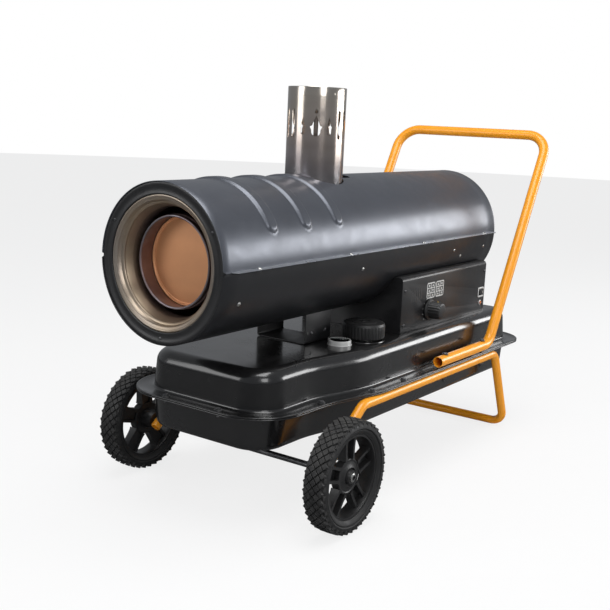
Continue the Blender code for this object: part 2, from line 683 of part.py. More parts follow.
def rear_grille(steel):
    """Concentric bars and spokes in one plate, made of the filled cells of a ring-and-angle grid."""
    rim = INSIDE_BARREL
    bar = 0.004
    pitch = (rim - bar) / (GRILLE_RINGS + 0.5)
    radii = [pitch * 0.5]
    for i in range(GRILLE_RINGS):
        inner = pitch * (i + 1.5) if i < GRILLE_RINGS - 1 else rim - 2 * bar
        radii += [inner, inner + (bar if i < GRILLE_RINGS - 1 else 2 * bar)]
    per_spoke = 3
    spoke_angle = 2 * pi / GRILLE_SPOKES
    half_bar = radians(1.6)
    angles = []
    for i in range(GRILLE_SPOKES):
        start = i * spoke_angle
        gap_step = (spoke_angle - 2 * half_bar) / (per_spoke - 1)
        angles += [start - half_bar] + [start + half_bar + k * gap_step for k in range(per_spoke - 1)]
    low = BARREL_REAR - GRILLE_SETBACK
    place = {}
    points = []
    faces = []

    def corner(ring, step, side):
        key = (ring, step % len(angles), side)
        if key not in place:
            place[key] = len(points)
            angle = angles[key[1]]
            y = low + side * GRILLE_THICKNESS
            points.append((radii[ring] * cos(angle), y, BARREL_AXIS_Z + radii[ring] * sin(angle)))
        return place[key]

    def filled(ring, step):
        if ring >= len(radii) - 1:
            return False
        return ring % 2 == 1 or ring < 0 or step % per_spoke == 0

    for ring in range(len(radii) - 1):
        for step in range(len(angles)):
            if not filled(ring, step):
                continue
            a, b = (ring, step), (ring + 1, step)
            c, d = (ring + 1, step + 1), (ring, step + 1)
            for side in (0, 1):
                faces.append([corner(*p, side) for p in (a, b, c, d)])
            edges = [((a, d), (ring - 1, step)), ((b, c), (ring + 1, step))]
            edges += [((a, b), (ring, step - 1)), ((d, c), (ring, step + 1))]
            for (p, q), beyond in edges:
                if not filled(beyond[0], beyond[1] % len(angles)):
                    faces.append([corner(*p, 0), corner(*q, 0), corner(*q, 1), corner(*p, 1)])
    for side in (0, 1):
        faces.append([corner(0, step, side) for step in range(len(angles))])
    for step in range(len(angles)):
        if not filled(0, step):
            faces.append([corner(0, step, 0), corner(0, step + 1, 0),
                          corner(0, step + 1, 1), corner(0, step, 1)])
    solid("rear_grille", points, faces, steel)


# ================================================================ fuel tank
def smooth(share):
    share = min(max(share, 0.0), 1.0)
    return share * share * (3 - 2 * share)


def tank_outline(inset, z):
    """The tank's plan, drawn in by inset: narrower ahead of the wheels, with round corners."""
    front_corner = TANK_FRONT_CORNER - inset
    rear_corner = TANK_REAR_CORNER - inset
    front_x = TANK_FRONT_HALF_WIDTH - inset
    rear_x = TANK_HALF_WIDTH - inset
    front_y = TANK_FRONT + inset
    rear_y = TANK_REAR - inset
    right = arc(front_x - front_corner, front_y + front_corner, front_corner, -90, 0, 6)
    for i in range(1, 4):
        y = TANK_TAPER_END + (TANK_TAPER_START - TANK_TAPER_END) * i / 3
        right.append((front_x + (rear_x - front_x) * smooth(i / 3), y))
    right += arc(rear_x - rear_corner, rear_y - rear_corner, rear_corner, 0, 90, 4)
    left = [(-x, y) for x, y in reversed(right)]
    return [(x, y, z) for x, y in right + left]


def tank_half(name, top, fillet, material, wall_steps=3):
    """A pressed half: lip, drafted wall, fillet and flat. A bottom half is the same, turned over."""
    turn = 1 if top > TANK_SEAM_Z else -1
    seam = TANK_SEAM_Z + turn * GAP / 2
    lip = seam + turn * TANK_LIP_THICKNESS
    outer = TANK_LIP_WIDTH
    inner = TANK_LIP_WIDTH + SHEET
    skin_in = []
    skin_out = []
    for i in range(wall_steps + 1):
        angle = pi / 2 * i / wall_steps
        inset = TANK_DRAFT + fillet * (1 - cos(angle))
        rise = fillet * (1 - sin(angle))
        skin_out.append(tank_outline(outer + inset, top - turn * rise))
        skin_in.append(tank_outline(inner + inset, top - turn * (rise + SHEET)))
    rings = skin_in[::-1] + [tank_outline(inner, seam), tank_outline(0.0, seam), tank_outline(0.0, lip)]
    rings += [tank_outline(outer, lip)] + skin_out
    return lofted(name, rings, material, 50.0)


def fuel_tank(paint):
    upper = tank_half("tank_upper", TANK_TOP_Z, TANK_TOP_FILLET, paint)
    lower = tank_half("tank_lower", TANK_BOTTOM_Z, TANK_BOTTOM_FILLET, paint)
    for name, radius, x, y in (("filler_hole", FILLER_RADIUS + GAP, FILLER_X, FILLER_Y),
                               ("gauge_hole", GAUGE_STEM_RADIUS + GAP, GAUGE_X, GAUGE_Y),
                               ("pickup_hole", FUEL_LINE_RADIUS + GAP, FUEL_LINE_X, PICKUP_Y)):
        cut(upper, hole(name, radius, TANK_TOP_Z - 0.008, TANK_TOP_Z + 0.02, centre=(x, y, 0.0), sides=24))
    drain = hole("drain_hole", DRAIN_RADIUS + GAP, TANK_BOTTOM_Z - 0.02, TANK_BOTTOM_Z + 0.008,
                 centre=(0.0, DRAIN_Y, 0.0), sides=16)
    cut(lower, drain)
    return upper, lower


def filler(steel, rubber, black):
    centre = (FILLER_X, FILLER_Y, 0.0)
    top = TANK_TOP_Z + FILLER_RISE
    bore = FILLER_RADIUS - 0.002
    neck = [(bore, TANK_TOP_Z - 0.012), (FILLER_RADIUS, TANK_TOP_Z - 0.012)]
    neck += [(FILLER_RADIUS, TANK_TOP_Z + GAP)]
    neck += [(FILLER_RADIUS + 0.006, TANK_TOP_Z + GAP), (FILLER_RADIUS + 0.006, TANK_TOP_Z + 0.002)]
    neck += [(FILLER_RADIUS, TANK_TOP_Z + 0.002), (FILLER_RADIUS, top), (bore, top)]
    turned("filler_neck", neck, steel, centre=centre, sides=20)
    seal = tube("cap_seal", FILLER_RADIUS + 0.003, bore, top + GAP, top + GAP + 0.003, rubber, centre=centre,
                sides=24)
    hinge_at(seal, (FILLER_X, FILLER_Y, top))

    low = TANK_TOP_Z + 0.005
    high = low + CAP_HEIGHT
    roof = top + 0.003 + 3 * GAP
    skirt = FILLER_RADIUS + 0.0045
    rings = []
    depth = 0.0014

    def fluted(radius, z, flute):
        ring = []
        for i in range(2 * CAP_FLUTES):
            angle = 2 * pi * i / (2 * CAP_FLUTES)
            reach = radius - (flute if i % 2 else 0.0)
            ring.append((FILLER_X + reach * cos(angle), FILLER_Y + reach * sin(angle), z))
        return ring

    rings.append(fluted(skirt, roof, 0.0))
    rings.append(fluted(skirt, low, 0.0))
    rings.append(fluted(CAP_RADIUS, low, depth))
    rings.append(fluted(CAP_RADIUS, high - 0.005, depth))
    rings.append(fluted(CAP_RADIUS - 0.004, high, 0.0))
    cap = lofted("fuel_cap", rings, black)
    hinge_at(cap, (FILLER_X, FILLER_Y, top))


def fuel_gauge(black, clear, red, brass, foam):
    centre = (GAUGE_X, GAUGE_Y, 0.0)
    base = TANK_TOP_Z + GAP
    top = base + GAUGE_HEIGHT
    floor = top - 0.005
    well = GAUGE_RADIUS - 0.003
    body = [(0.0, floor), (well, floor), (well, top), (GAUGE_RADIUS, top), (GAUGE_RADIUS, base)]
    body += [(GAUGE_STEM_RADIUS, base), (GAUGE_STEM_RADIUS, TANK_TOP_Z - 0.012), (0.0, TANK_TOP_Z - 0.012)]
    case = turned("gauge_case", body, black, centre=centre, sides=24)
    stem_x = GAUGE_X - 0.008
    stem = block("gauge_stem", (stem_x - 0.002, GAUGE_Y - 0.005, FLOAT_PIVOT_Z - 0.006),
                 (stem_x + 0.002, GAUGE_Y + 0.005, TANK_TOP_Z - 0.005), None)
    weld(case, stem)
    lens = [(0.0, top - 0.0018), (well - GAP, top - 0.0018), (well - GAP, top), (well - 0.004, top + 0.0015)]
    lens += [(0.0, top + 0.0025)]
    turned("gauge_lens", lens, clear, centre=centre, sides=24)
    pointer_z = floor + 0.0008
    outline = [(GAUGE_X - 0.006, GAUGE_Y - 0.0016), (GAUGE_X + 0.015, GAUGE_Y - 0.0004)]
    outline += [(GAUGE_X + 0.015, GAUGE_Y + 0.0004), (GAUGE_X - 0.006, GAUGE_Y + 0.0016)]
    pointer = prism("gauge_pointer", outline, pointer_z, pointer_z + 0.001, red)
    hinge_at(pointer, (GAUGE_X, GAUGE_Y, pointer_z))

    arm_x = stem_x - 0.002 - GAP
    pivot = (arm_x, GAUGE_Y, FLOAT_PIVOT_Z)
    far = GAUGE_Y - FLOAT_ARM_LENGTH
    arm = block("float_arm", (arm_x - 0.002, far - 0.004, FLOAT_PIVOT_Z - 0.004),
                (arm_x, GAUGE_Y + 0.006, FLOAT_PIVOT_Z + 0.004), brass)
    hinge_at(arm, pivot)
    ball = disc("gauge_float", FLOAT_RADIUS, arm_x - 0.002 - GAP - 0.022, arm_x - 0.002 - GAP, foam, "X",
                (0.0, far, FLOAT_PIVOT_Z), sides=16)
    hinge_at(ball, pivot)


def fuel_feed(brass, steel, hose, clear):
    height = TANK_TOP_Z + 0.030
    filter_start = PICKUP_Y + 0.020
    filter_length = 0.052
    corners = [(FUEL_LINE_X, PICKUP_Y, TANK_BOTTOM_Z + 0.012), (FUEL_LINE_X, PICKUP_Y, height)]
    corners.append((FUEL_LINE_X, filter_start - GAP, height))
    swept("fuel_pickup", bent_path(corners, [0.012], 4), FUEL_LINE_RADIUS, brass, sides=10)
    body = [(0.0, 0.0), (0.006, 0.0), (0.006, 0.006), (0.014, 0.010), (0.014, filter_length - 0.010)]
    body += [(0.006, filter_length - 0.006), (0.006, filter_length), (0.0, filter_length)]
    turned("fuel_filter", body, clear, "Y", (FUEL_LINE_X, filter_start, height), sides=20)
    start = filter_start + filter_length + GAP
    end_x = -PUMP_RADIUS - 0.010 - GAP
    corners = [(FUEL_LINE_X, start, height), (FUEL_LINE_X, PUMP_MIDDLE_Y, height)]
    corners += [(FUEL_LINE_X, PUMP_MIDDLE_Y, BARREL_AXIS_Z), (end_x, PUMP_MIDDLE_Y, BARREL_AXIS_Z)]
    swept("fuel_line", bent_path(corners, [0.020, 0.015], 4), FUEL_LINE_RADIUS, hose, sides=10)
    head = DRAIN_RADIUS + 0.005
    plug = [(0.0, TANK_BOTTOM_Z - 0.008), (head, TANK_BOTTOM_Z - 0.008), (head, TANK_BOTTOM_Z - GAP)]
    plug += [(DRAIN_RADIUS, TANK_BOTTOM_Z - GAP), (DRAIN_RADIUS, TANK_BOTTOM_Z + 0.006)]
    plug.append((0.0, TANK_BOTTOM_Z + 0.006))
    turned("drain_plug", plug, steel, centre=(0.0, DRAIN_Y, 0.0), sides=12)


# ================================================================ supports and controls
def saddle(paint):
    """A U-shaped pedestal between the tank and the barrel, under the flue."""
    low = TANK_TOP_Z + GAP
    half = SADDLE_HALF_WIDTH
    wall = 0.002
    high = BARREL_AXIS_Z
    front, rear = SADDLE_Y - SADDLE_LENGTH / 2, SADDLE_Y + SADDLE_LENGTH / 2
    body = block("front_saddle", (-half, front, low), (half, rear, high), paint)
    hollow = block("saddle_hollow", (-half + wall, front - 0.01, low + wall),
                   (half - wall, rear + 0.01, high + 0.01), None)
    barrel = hole("saddle_barrel", BARREL_RADIUS + GAP, front - 0.02, rear + 0.02, "Y",
                  (0.0, 0.0, BARREL_AXIS_Z), 80)
    cut(body, hollow, barrel)


def control_box(paint, black, white, amber, green, copper):
    low = TANK_TOP_Z + GAP
    right, top = PANEL_X - SHEET - GAP, BOX_TOP_Z - SHEET - GAP
    outline = [(BOX_LEFT, low), (right, low), (right, top - PANEL_BEND)]
    outline += [(right - PANEL_BEND, top), (BOX_LEFT, top)]
    body = prism("control_box", outline, BOX_FRONT, BOX_REAR, paint, "Y")
    hollow = block("box_hollow", (BOX_LEFT + SHEET, BOX_FRONT + SHEET, low + SHEET),
                   (PANEL_X + 0.02, BOX_REAR - SHEET, BOX_TOP_Z + 0.02), None)
    barrel = hole("box_barrel", BARREL_RADIUS + GAP, BOX_FRONT - 0.02, BOX_REAR + 0.02, "Y",
                  (0.0, 0.0, BARREL_AXIS_Z), 80)
    pickup = hole("box_pickup_hole", FUEL_LINE_RADIUS + 0.001, low - 0.01, low + 0.01,
                  centre=(FUEL_LINE_X, PICKUP_Y, 0.0), sides=12)
    gland_z = low + 0.030
    gland = hole("gland_hole", 0.009 + GAP, BOX_REAR - 0.01, BOX_REAR + 0.01, "Y", (GLAND_X, 0.0, gland_z))
    cut(body, hollow, barrel, pickup, gland)

    outer = [(PANEL_X, low)] + arc(PANEL_X - PANEL_BEND, BOX_TOP_Z - PANEL_BEND, PANEL_BEND, 0, 90, 4)
    lip_x = sqrt(BARREL_RADIUS**2 - (BARREL_AXIS_Z - BOX_TOP_Z)**2) + 0.002
    outer += [(lip_x, BOX_TOP_Z), (lip_x, BOX_TOP_Z - SHEET)]
    inner = arc(PANEL_X - PANEL_BEND, BOX_TOP_Z - PANEL_BEND, PANEL_BEND - SHEET, 90, 0, 4)
    outline = outer + inner + [(PANEL_X - SHEET, low)]
    panel = prism("control_panel", outline, BOX_FRONT, BOX_REAR, paint, "Y")
    through = (PANEL_X - 0.01, PANEL_X + 0.01)
    shaft_hole = hole("knob_hole", 0.005, *through, "X", (0.0, KNOB_Y, KNOB_Z), 16)
    window_half_w, window_half_h = SWITCH_WIDTH / 2 - 0.002, SWITCH_HEIGHT / 2 - 0.002
    window = block("switch_window", (through[0], SWITCH_Y - window_half_w, SWITCH_Z - window_half_h),
                   (through[1], SWITCH_Y + window_half_w, SWITCH_Z + window_half_h), None)
    lamp_hole = hole("lamp_hole", 0.0035 + GAP, *through, "X", (0.0, SWITCH_Y, LAMP_Z), 16)
    cut(panel, shaft_hole, window, lamp_hole)

    face = PANEL_X + 0.0015
    end = face + KNOB_LENGTH
    grip = KNOB_RADIUS
    knob = [(0.0, PANEL_X - 0.020), (0.003, PANEL_X - 0.020), (0.003, face), (grip, face)]
    knob += [(grip - 0.001, end - 0.002), (grip - 0.003, end), (0.0, end)]
    dial = turned("thermostat_knob", knob, black, "X", (0.0, KNOB_Y, KNOB_Z), sides=24)
    hinge_at(dial, (face, KNOB_Y, KNOB_Z))
    back = PANEL_X - SHEET - GAP
    tube("thermostat_body", 0.016, 0.003 + GAP, back - 0.028, back, white, "X",
         (0.0, KNOB_Y, KNOB_Z), sides=16)

    half_w, half_h = SWITCH_WIDTH / 2, SWITCH_HEIGHT / 2
    bezel = block("switch_housing", (PANEL_X + GAP, SWITCH_Y - half_w, SWITCH_Z - half_h),
                  (PANEL_X + 0.0022, SWITCH_Y + half_w, SWITCH_Z + half_h), black)
    outer_w, outer_h = half_w - 0.0025, half_h - 0.0025
    barrel_block = block("switch_barrel", (PANEL_X - 0.022, SWITCH_Y - outer_w, SWITCH_Z - outer_h),
                         (PANEL_X + 0.002, SWITCH_Y + outer_w, SWITCH_Z + outer_h), None)
    inner_w, inner_h = half_w - 0.0045, half_h - 0.0045
    pocket = block("switch_pocket", (PANEL_X - 0.010, SWITCH_Y - inner_w, SWITCH_Z - inner_h),
                   (PANEL_X + 0.006, SWITCH_Y + inner_w, SWITCH_Z + inner_h), None)
    weld(bezel, barrel_block)
    cut(bezel, pocket)
    tip = half_w - 0.0064
    crest = PANEL_X + 0.0035
    pivot_x = PANEL_X - 0.004
    outline = [(pivot_x - 0.003, SWITCH_Y), (pivot_x, SWITCH_Y - 0.6 * tip), (crest + 0.001, SWITCH_Y - tip)]
    outline += [(crest - 0.0015, SWITCH_Y), (crest + 0.001, SWITCH_Y + tip), (pivot_x, SWITCH_Y + 0.6 * tip)]
    high, low_edge = SWITCH_Z + half_h - 0.0052, SWITCH_Z - half_h + 0.0052
    rocker = prism("power_switch", outline, low_edge, high, green)
    hinge_at(rocker, (pivot_x, SWITCH_Y, SWITCH_Z))

    lamp = [(0.0, PANEL_X - 0.010), (0.0035, PANEL_X - 0.010), (0.0035, PANEL_X + GAP)]
    lamp += [(0.005, PANEL_X + GAP), (0.005, PANEL_X + 0.0015), (0.003, PANEL_X + 0.004)]
    lamp += [(0.0, PANEL_X + 0.0045)]
    turned("mains_lamp", lamp, amber, "X", (0.0, SWITCH_Y, LAMP_Z), sides=16)

    floor = low + SHEET + GAP
    block("ignition_transformer", (0.040, 0.250, floor), (0.110, 0.330, floor + 0.036), copper)
    block("control_board", (0.030, 0.030, floor + 0.006), (0.120, 0.120, floor + 0.009), green)

    cord = 0.005
    gland = [(cord, BOX_REAR - 0.010), (0.009, BOX_REAR - 0.010), (0.009, BOX_REAR + GAP)]
    gland += [(0.013, BOX_REAR + GAP), (0.013, BOX_REAR + 0.006), (0.009, BOX_REAR + 0.016)]
    gland += [(cord, BOX_REAR + 0.016)]
    turned("power_gland", gland, black, "Y", (GLAND_X, 0.0, gland_z), sides=14)


# ================================================================ frame, handle and wheels


def frame(paint):
    slope = Vector((0.0, WHEEL_Y - FRAME_FRONT_BEND_Y, WHEEL_RADIUS - FRAME_Z)).normalized()
    end = Vector((0.0, WHEEL_Y, WHEEL_RADIUS)) + slope * 0.016
    half = FRAME_HALF_WIDTH
    side = [(end.y, end.z), (FRAME_FRONT_BEND_Y, FRAME_Z), (FRAME_REAR_BEND_Y, FRAME_Z), (FOOT_Y, TUBE_RADIUS)]
    corners = [(half, y, z) for y, z in side] + [(-half, y, z) for y, z in reversed(side)]
    path = bent_path(corners, [FOOT_BEND] * 6, 3)
    tubes = swept("frame_tube", path, TUBE_RADIUS, paint, 8, TUBE_RADIUS - TUBE_WALL)
    bore = hole("frame_axle_bore", AXLE_RADIUS + AXLE_CLEARANCE, -TYRE_OUTER_X, TYRE_OUTER_X, "X",
                (0.0, WHEEL_Y, WHEEL_RADIUS), 16)
    cut(tubes, bore)
    return tubes


def handle(paint):
    half = FRAME_HALF_WIDTH
    top_y = HANDLE_REAR - HANDLE_RADIUS
    top_z = HANDLE_TOP_Z - HANDLE_RADIUS
    side = [(HANDLE_FRONT_END_Y, HANDLE_Z), (HANDLE_BEND_Y, HANDLE_Z), (top_y, top_z)]
    corners = [(half, y, z) for y, z in side] + [(-half, y, z) for y, z in reversed(side)]
    bends = [HANDLE_FOOT_BEND, HANDLE_TOP_BEND, HANDLE_TOP_BEND, HANDLE_FOOT_BEND]
    path = bent_path(corners, bends, 3)
    return swept("handle_tube", path, HANDLE_RADIUS, paint, 8, HANDLE_RADIUS - TUBE_WALL)


def handle_bolts(zinc, *bolted):
    """Bolts down through the handle, both tank lips and the frame, with their holes."""
    top = HANDLE_Z + HANDLE_RADIUS + GAP
    bottom = FRAME_Z - TUBE_RADIUS - 0.009
    rise = Vector((HANDLE_REAR - HANDLE_BEND_Y, HANDLE_TOP_Z - HANDLE_Z))
    bend_start = HANDLE_BEND_Y - HANDLE_FOOT_BEND * tan(rise.angle(Vector((1.0, 0.0))) / 2)
    places = (HANDLE_FRONT_END_Y + HANDLE_BOLT_FROM_END, bend_start - HANDLE_BOLT_BEFORE_BEND)
    for side in (-1, 1):
        for i, y in enumerate(places):
            centre = (side * FRAME_HALF_WIDTH, y, 0.0)
            label = f"{'left' if side < 0 else 'right'}_{'front' if i == 0 else 'rear'}"
            profile = [(0.0, bottom), (BOLT_RADIUS, bottom), (BOLT_RADIUS, top), (BOLT_HEAD_RADIUS, top)]
            profile += [(BOLT_HEAD_RADIUS, top + BOLT_HEAD_HEIGHT), (0.0, top + BOLT_HEAD_HEIGHT)]
            turned(f"handle_bolt_{label}", profile, zinc, centre=centre, sides=12)
            drill = hole(f"bolt_hole_{label}", BOLT_RADIUS + BOLT_CLEARANCE, bottom, top,
                         centre=centre, sides=10)
            for piece in bolted:
                cut(piece, drill)


def wheel(side, black, rubber, zinc):
    """One wheel: the tyre, and a rim and a hub joined by pairs of spokes."""
    name = "left" if side < 0 else "right"
    centre = (0.0, WHEEL_Y, WHEEL_RADIUS)
    outer_x = side * TYRE_OUTER_X
    inner_x = side * (TYRE_OUTER_X - TYRE_WIDTH)
    width = outer_x - inner_x
    crown = 0.006
    bead = WHEEL_RADIUS - TYRE_THICKNESS
    tread = [(bead, inner_x + 0.14 * width), (WHEEL_RADIUS - 2.2 * crown, inner_x)]
    tread += [(WHEEL_RADIUS - 0.5 * crown, inner_x + 0.12 * width), (WHEEL_RADIUS, inner_x + 0.3 * width)]
    tread += [(WHEEL_RADIUS, outer_x - 0.3 * width), (WHEEL_RADIUS - 0.5 * crown, outer_x - 0.12 * width)]
    tread += [(WHEEL_RADIUS - 2.2 * crown, outer_x), (bead, outer_x - 0.14 * width)]
    tyre = turned(f"tyre_{name}", tread, rubber, "X", centre, sides=32)

    rim = bead - GAP
    rim_wall = 0.005
    rim_in, rim_out = inner_x + 0.18 * width, outer_x - 0.18 * width
    ring = tube(f"wheel_{name}", rim, rim - rim_wall, rim_in, rim_out, black, "X", centre, sides=32)
    hub_in = side * (FRAME_HALF_WIDTH + TUBE_RADIUS + 0.001)
    hub_out = side * (AXLE_HALF_LENGTH - 0.009)
    hub = disc(f"hub_{name}", HUB_RADIUS, hub_in, hub_out, None, "X", centre, sides=18)
    weld(ring, hub)
    spoke_in, spoke_out = inner_x + 0.30 * width, outer_x - 0.30 * width
    step = side * 0.0015
    weld(ring, disc(f"hub_disc_{name}", HUB_DISC_RADIUS, spoke_in + step, spoke_out - step, None, "X",
                    centre, sides=24))
    for i in range(WHEEL_SPOKES):
        for twin in (-1, 1):
            angle = 2 * pi * i / WHEEL_SPOKES + pi / 2
            out = (cos(angle), sin(angle))
            across = (-sin(angle), cos(angle))
            foot, tip = 0.8 * HUB_DISC_RADIUS, rim - 0.5 * rim_wall
            outline = []
            for reach, edge in ((foot, -1), (tip, -1), (tip, 1), (foot, 1)):
                middle = twin * SPOKE_OFFSET * (1.0 if reach == foot else SPOKE_SPREAD)
                spread = middle + edge * SPOKE_THICKNESS / 2
                outline.append((WHEEL_Y + reach * out[0] + spread * across[0],
                                WHEEL_RADIUS + reach * out[1] + spread * across[1]))
            label = f"spoke_{name}_{i}_{'a' if twin < 0 else 'b'}"
            weld(ring, prism(label, outline, spoke_in, spoke_out, None, "X"))
    bore = hole(f"bore_{name}", AXLE_RADIUS + AXLE_CLEARANCE, side * FRAME_HALF_WIDTH,
                side * (TYRE_OUTER_X + TUBE_RADIUS), "X", centre, 16)
    cut(ring, bore)
    hinge_at(ring, (side * (TYRE_OUTER_X - TYRE_WIDTH / 2), WHEEL_Y, WHEEL_RADIUS))
    hinge_at(tyre, (side * (TYRE_OUTER_X - TYRE_WIDTH / 2), WHEEL_Y, WHEEL_RADIUS))
    keeper_in = hub_out + side * 0.0008
    tube(f"axle_keeper_{name}", 0.011, AXLE_RADIUS + GAP, keeper_in, keeper_in + side * 0.003, zinc,
         "X", centre, sides=12)


def axle(zinc):
    disc("axle", AXLE_RADIUS, -AXLE_HALF_LENGTH, AXLE_HALF_LENGTH, zinc, "X", (0.0, WHEEL_Y, WHEEL_RADIUS),
         sides=16)


# ================================================================ the heater
def build_heater():
    clear_scene()
    heater = bpy.data.objects.new("heater", None)
    bpy.context.scene.collection.objects.link(heater)
    gunmetal = finish("gunmetal_paint", (0.060, 0.064, 0.072), 0.38, 0.55)
    black_paint = finish("black_paint", (0.012, 0.012, 0.013), 0.42, 0.0)
    stainless = finish("stainless_steel", (0.62, 0.58, 0.54), 0.22, 1.0)
    aluminised = finish("aluminised_steel", (0.30, 0.29, 0.28), 0.40, 1.0)
    hot_steel = finish("heat_tinted_steel", (0.52, 0.27, 0.16), 0.45, 0.6)
    zinc = finish("zinc_plated_steel", (0.70, 0.70, 0.68), 0.30, 1.0)
    cast = finish("cast_aluminium", (0.42, 0.42, 0.43), 0.50, 0.9)
    orange = finish("orange_powder_coat", (0.90, 0.36, 0.02), 0.32, 0.0)
    plastic = finish("black_plastic", (0.016, 0.016, 0.017), 0.50, 0.0)
    rubber = finish("black_rubber", (0.020, 0.020, 0.021), 0.80, 0.0)
    brass = finish("brass", (0.72, 0.52, 0.22), 0.30, 1.0)
    ceramic = finish("white_ceramic", (0.80, 0.78, 0.74), 0.35, 0.0)
    clear = finish("clear_plastic", (0.85, 0.87, 0.88), 0.10, 0.0)
    foam = finish("float_foam", (0.10, 0.10, 0.11), 0.90, 0.0)
    red = finish("pointer_red", (0.60, 0.03, 0.02), 0.40, 0.0)
    amber = finish("amber_lens", (0.90, 0.35, 0.03), 0.20, 0.0)
    green = finish("green_plastic", (0.03, 0.20, 0.07), 0.45, 0.0)
    copper = finish("copper_winding", (0.55, 0.28, 0.16), 0.40, 0.9)

    barrel_shells(gunmetal)
    air_outlet(black_paint, stainless)
    heat_exchanger(aluminised, hot_steel)
    liner(aluminised)
    flue(stainless, aluminised)
    burner(cast, brass, ceramic)
    fan_and_motor(plastic, zinc, cast)
    rear_grille(black_paint)
    upper, lower = fuel_tank(black_paint)
    filler(zinc, rubber, plastic)
    fuel_gauge(plastic, clear, red, brass, foam)
    fuel_feed(brass, zinc, rubber, clear)
    saddle(black_paint)
    control_box(black_paint, plastic, ceramic, amber, green, copper)
    frame_piece = frame(orange)
    handle_piece = handle(orange)
    handle_bolts(zinc, upper, lower, frame_piece, handle_piece)
    for side in (-1, 1):
        wheel(side, plastic, rubber, zinc)
    axle(zinc)


build_heater()
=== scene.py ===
"""Dresses the kerosene heater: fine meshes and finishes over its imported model, with floor, light and camera.

Metres, +Z up. The hot air leaves towards -Y and the controls face +X. Places and overall sizes are read from
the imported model's own boxes, and the rest of each piece's sizes are the fields of its class.
"""
import logging
from dataclasses import dataclass, field
from enum import Enum
from math import asin, cos, degrees, hypot, pi, radians, sin, sqrt, tau
from typing import Callable, Iterable, Optional, Sequence

import bmesh
import bpy
from mathutils import Matrix, Quaternion, Vector


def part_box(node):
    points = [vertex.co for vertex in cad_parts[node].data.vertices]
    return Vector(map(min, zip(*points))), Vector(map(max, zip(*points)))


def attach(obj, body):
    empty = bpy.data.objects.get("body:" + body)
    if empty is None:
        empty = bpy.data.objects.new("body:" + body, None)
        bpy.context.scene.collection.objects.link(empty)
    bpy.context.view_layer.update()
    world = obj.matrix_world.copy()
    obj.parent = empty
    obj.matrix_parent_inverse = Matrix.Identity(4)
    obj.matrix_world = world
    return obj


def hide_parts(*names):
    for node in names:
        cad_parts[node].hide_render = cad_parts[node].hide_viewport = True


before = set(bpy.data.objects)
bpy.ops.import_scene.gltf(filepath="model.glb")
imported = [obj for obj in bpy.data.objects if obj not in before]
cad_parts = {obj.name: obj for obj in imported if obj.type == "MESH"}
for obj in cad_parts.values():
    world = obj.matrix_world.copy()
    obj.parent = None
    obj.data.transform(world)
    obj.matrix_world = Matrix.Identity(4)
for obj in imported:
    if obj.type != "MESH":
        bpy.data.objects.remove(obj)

LOG = logging.getLogger("heater")
Point = tuple[float, float, float]
Colour = tuple[float, float, float]
Flat = tuple[float, float]


# ====================================================================== choices
class Axis(Enum):
    """The direction that a piece is turned about or pushed along."""

    X = 0
    Y = 1
    Z = 2

    def place(self, u: float, v: float, along: float) -> Point:
        """Puts two across-axis numbers and one along-axis number into x, y, z order.

        Args:
            u: first number across the axis.
            v: second number across the axis.
            along: distance along the axis.

        Returns:
            The point as x, y, z.
        """
        if self is Axis.X:
            return (along, u, v)
        if self is Axis.Y:
            return (u, along, v)
        return (u, v, along)


class Side(Enum):
    """Left and right of the heater, as the sign of x."""

    LEFT = -1
    RIGHT = 1

    @property
    def label(self) -> str:
        """The side's name in lower case."""
        return self.name.lower()


class Drive(Enum):
    """What a screw head is turned with."""

    CROSS = "cross"
    HEX = "hex"


@dataclass(frozen=True)
class Span:
    """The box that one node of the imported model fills."""

    low: Vector
    high: Vector

    @classmethod
    def of(cls, node: str) -> "Span":
        """Reads a node's box.

        Args:
            node: the node's name.

        Returns:
            Its span.
        """
        low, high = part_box(node)
        return cls(low, high)

    @property
    def centre(self) -> Vector:
        """The middle of the box."""
        return (self.low + self.high) / 2

    @property
    def size(self) -> Vector:
        """The box's three lengths."""
        return self.high - self.low


# ====================================================================== curves and numbers
def ease(share: float) -> float:
    """Turns 0 to 1 into a smooth 0 to 1.

    Args:
        share: a number, held between 0 and 1.

    Returns:
        The eased share.
    """
    share = min(max(share, 0.0), 1.0)
    return share * share * (3 - 2 * share)


def arc(middle: Flat, radius: float, first: float, last: float, steps: int) -> list[Flat]:
    """Points on a circle, both ends included.

    Args:
        middle: the circle's centre.
        radius: its radius.
        first: start angle in degrees.
        last: end angle in degrees.
        steps: number of chords.

    Returns:
        The points in order.
    """
    turns = [radians(first + (last - first) * i / steps) for i in range(steps + 1)]
    return [(middle[0] + radius * cos(t), middle[1] + radius * sin(t)) for t in turns]


def rounded_box(low: Flat, high: Flat, corner: float, steps: int = 6) -> list[Flat]:
    """A rectangle with round corners, counter-clockwise.

    Args:
        low: lowest corner.
        high: highest corner.
        corner: corner radius.
        steps: chords in each corner.

    Returns:
        The outline.
    """
    points = arc((high[0] - corner, low[1] + corner), corner, -90, 0, steps)
    points += arc((high[0] - corner, high[1] - corner), corner, 0, 90, steps)
    points += arc((low[0] + corner, high[1] - corner), corner, 90, 180, steps)
    return points + arc((low[0] + corner, low[1] + corner), corner, 180, 270, steps)


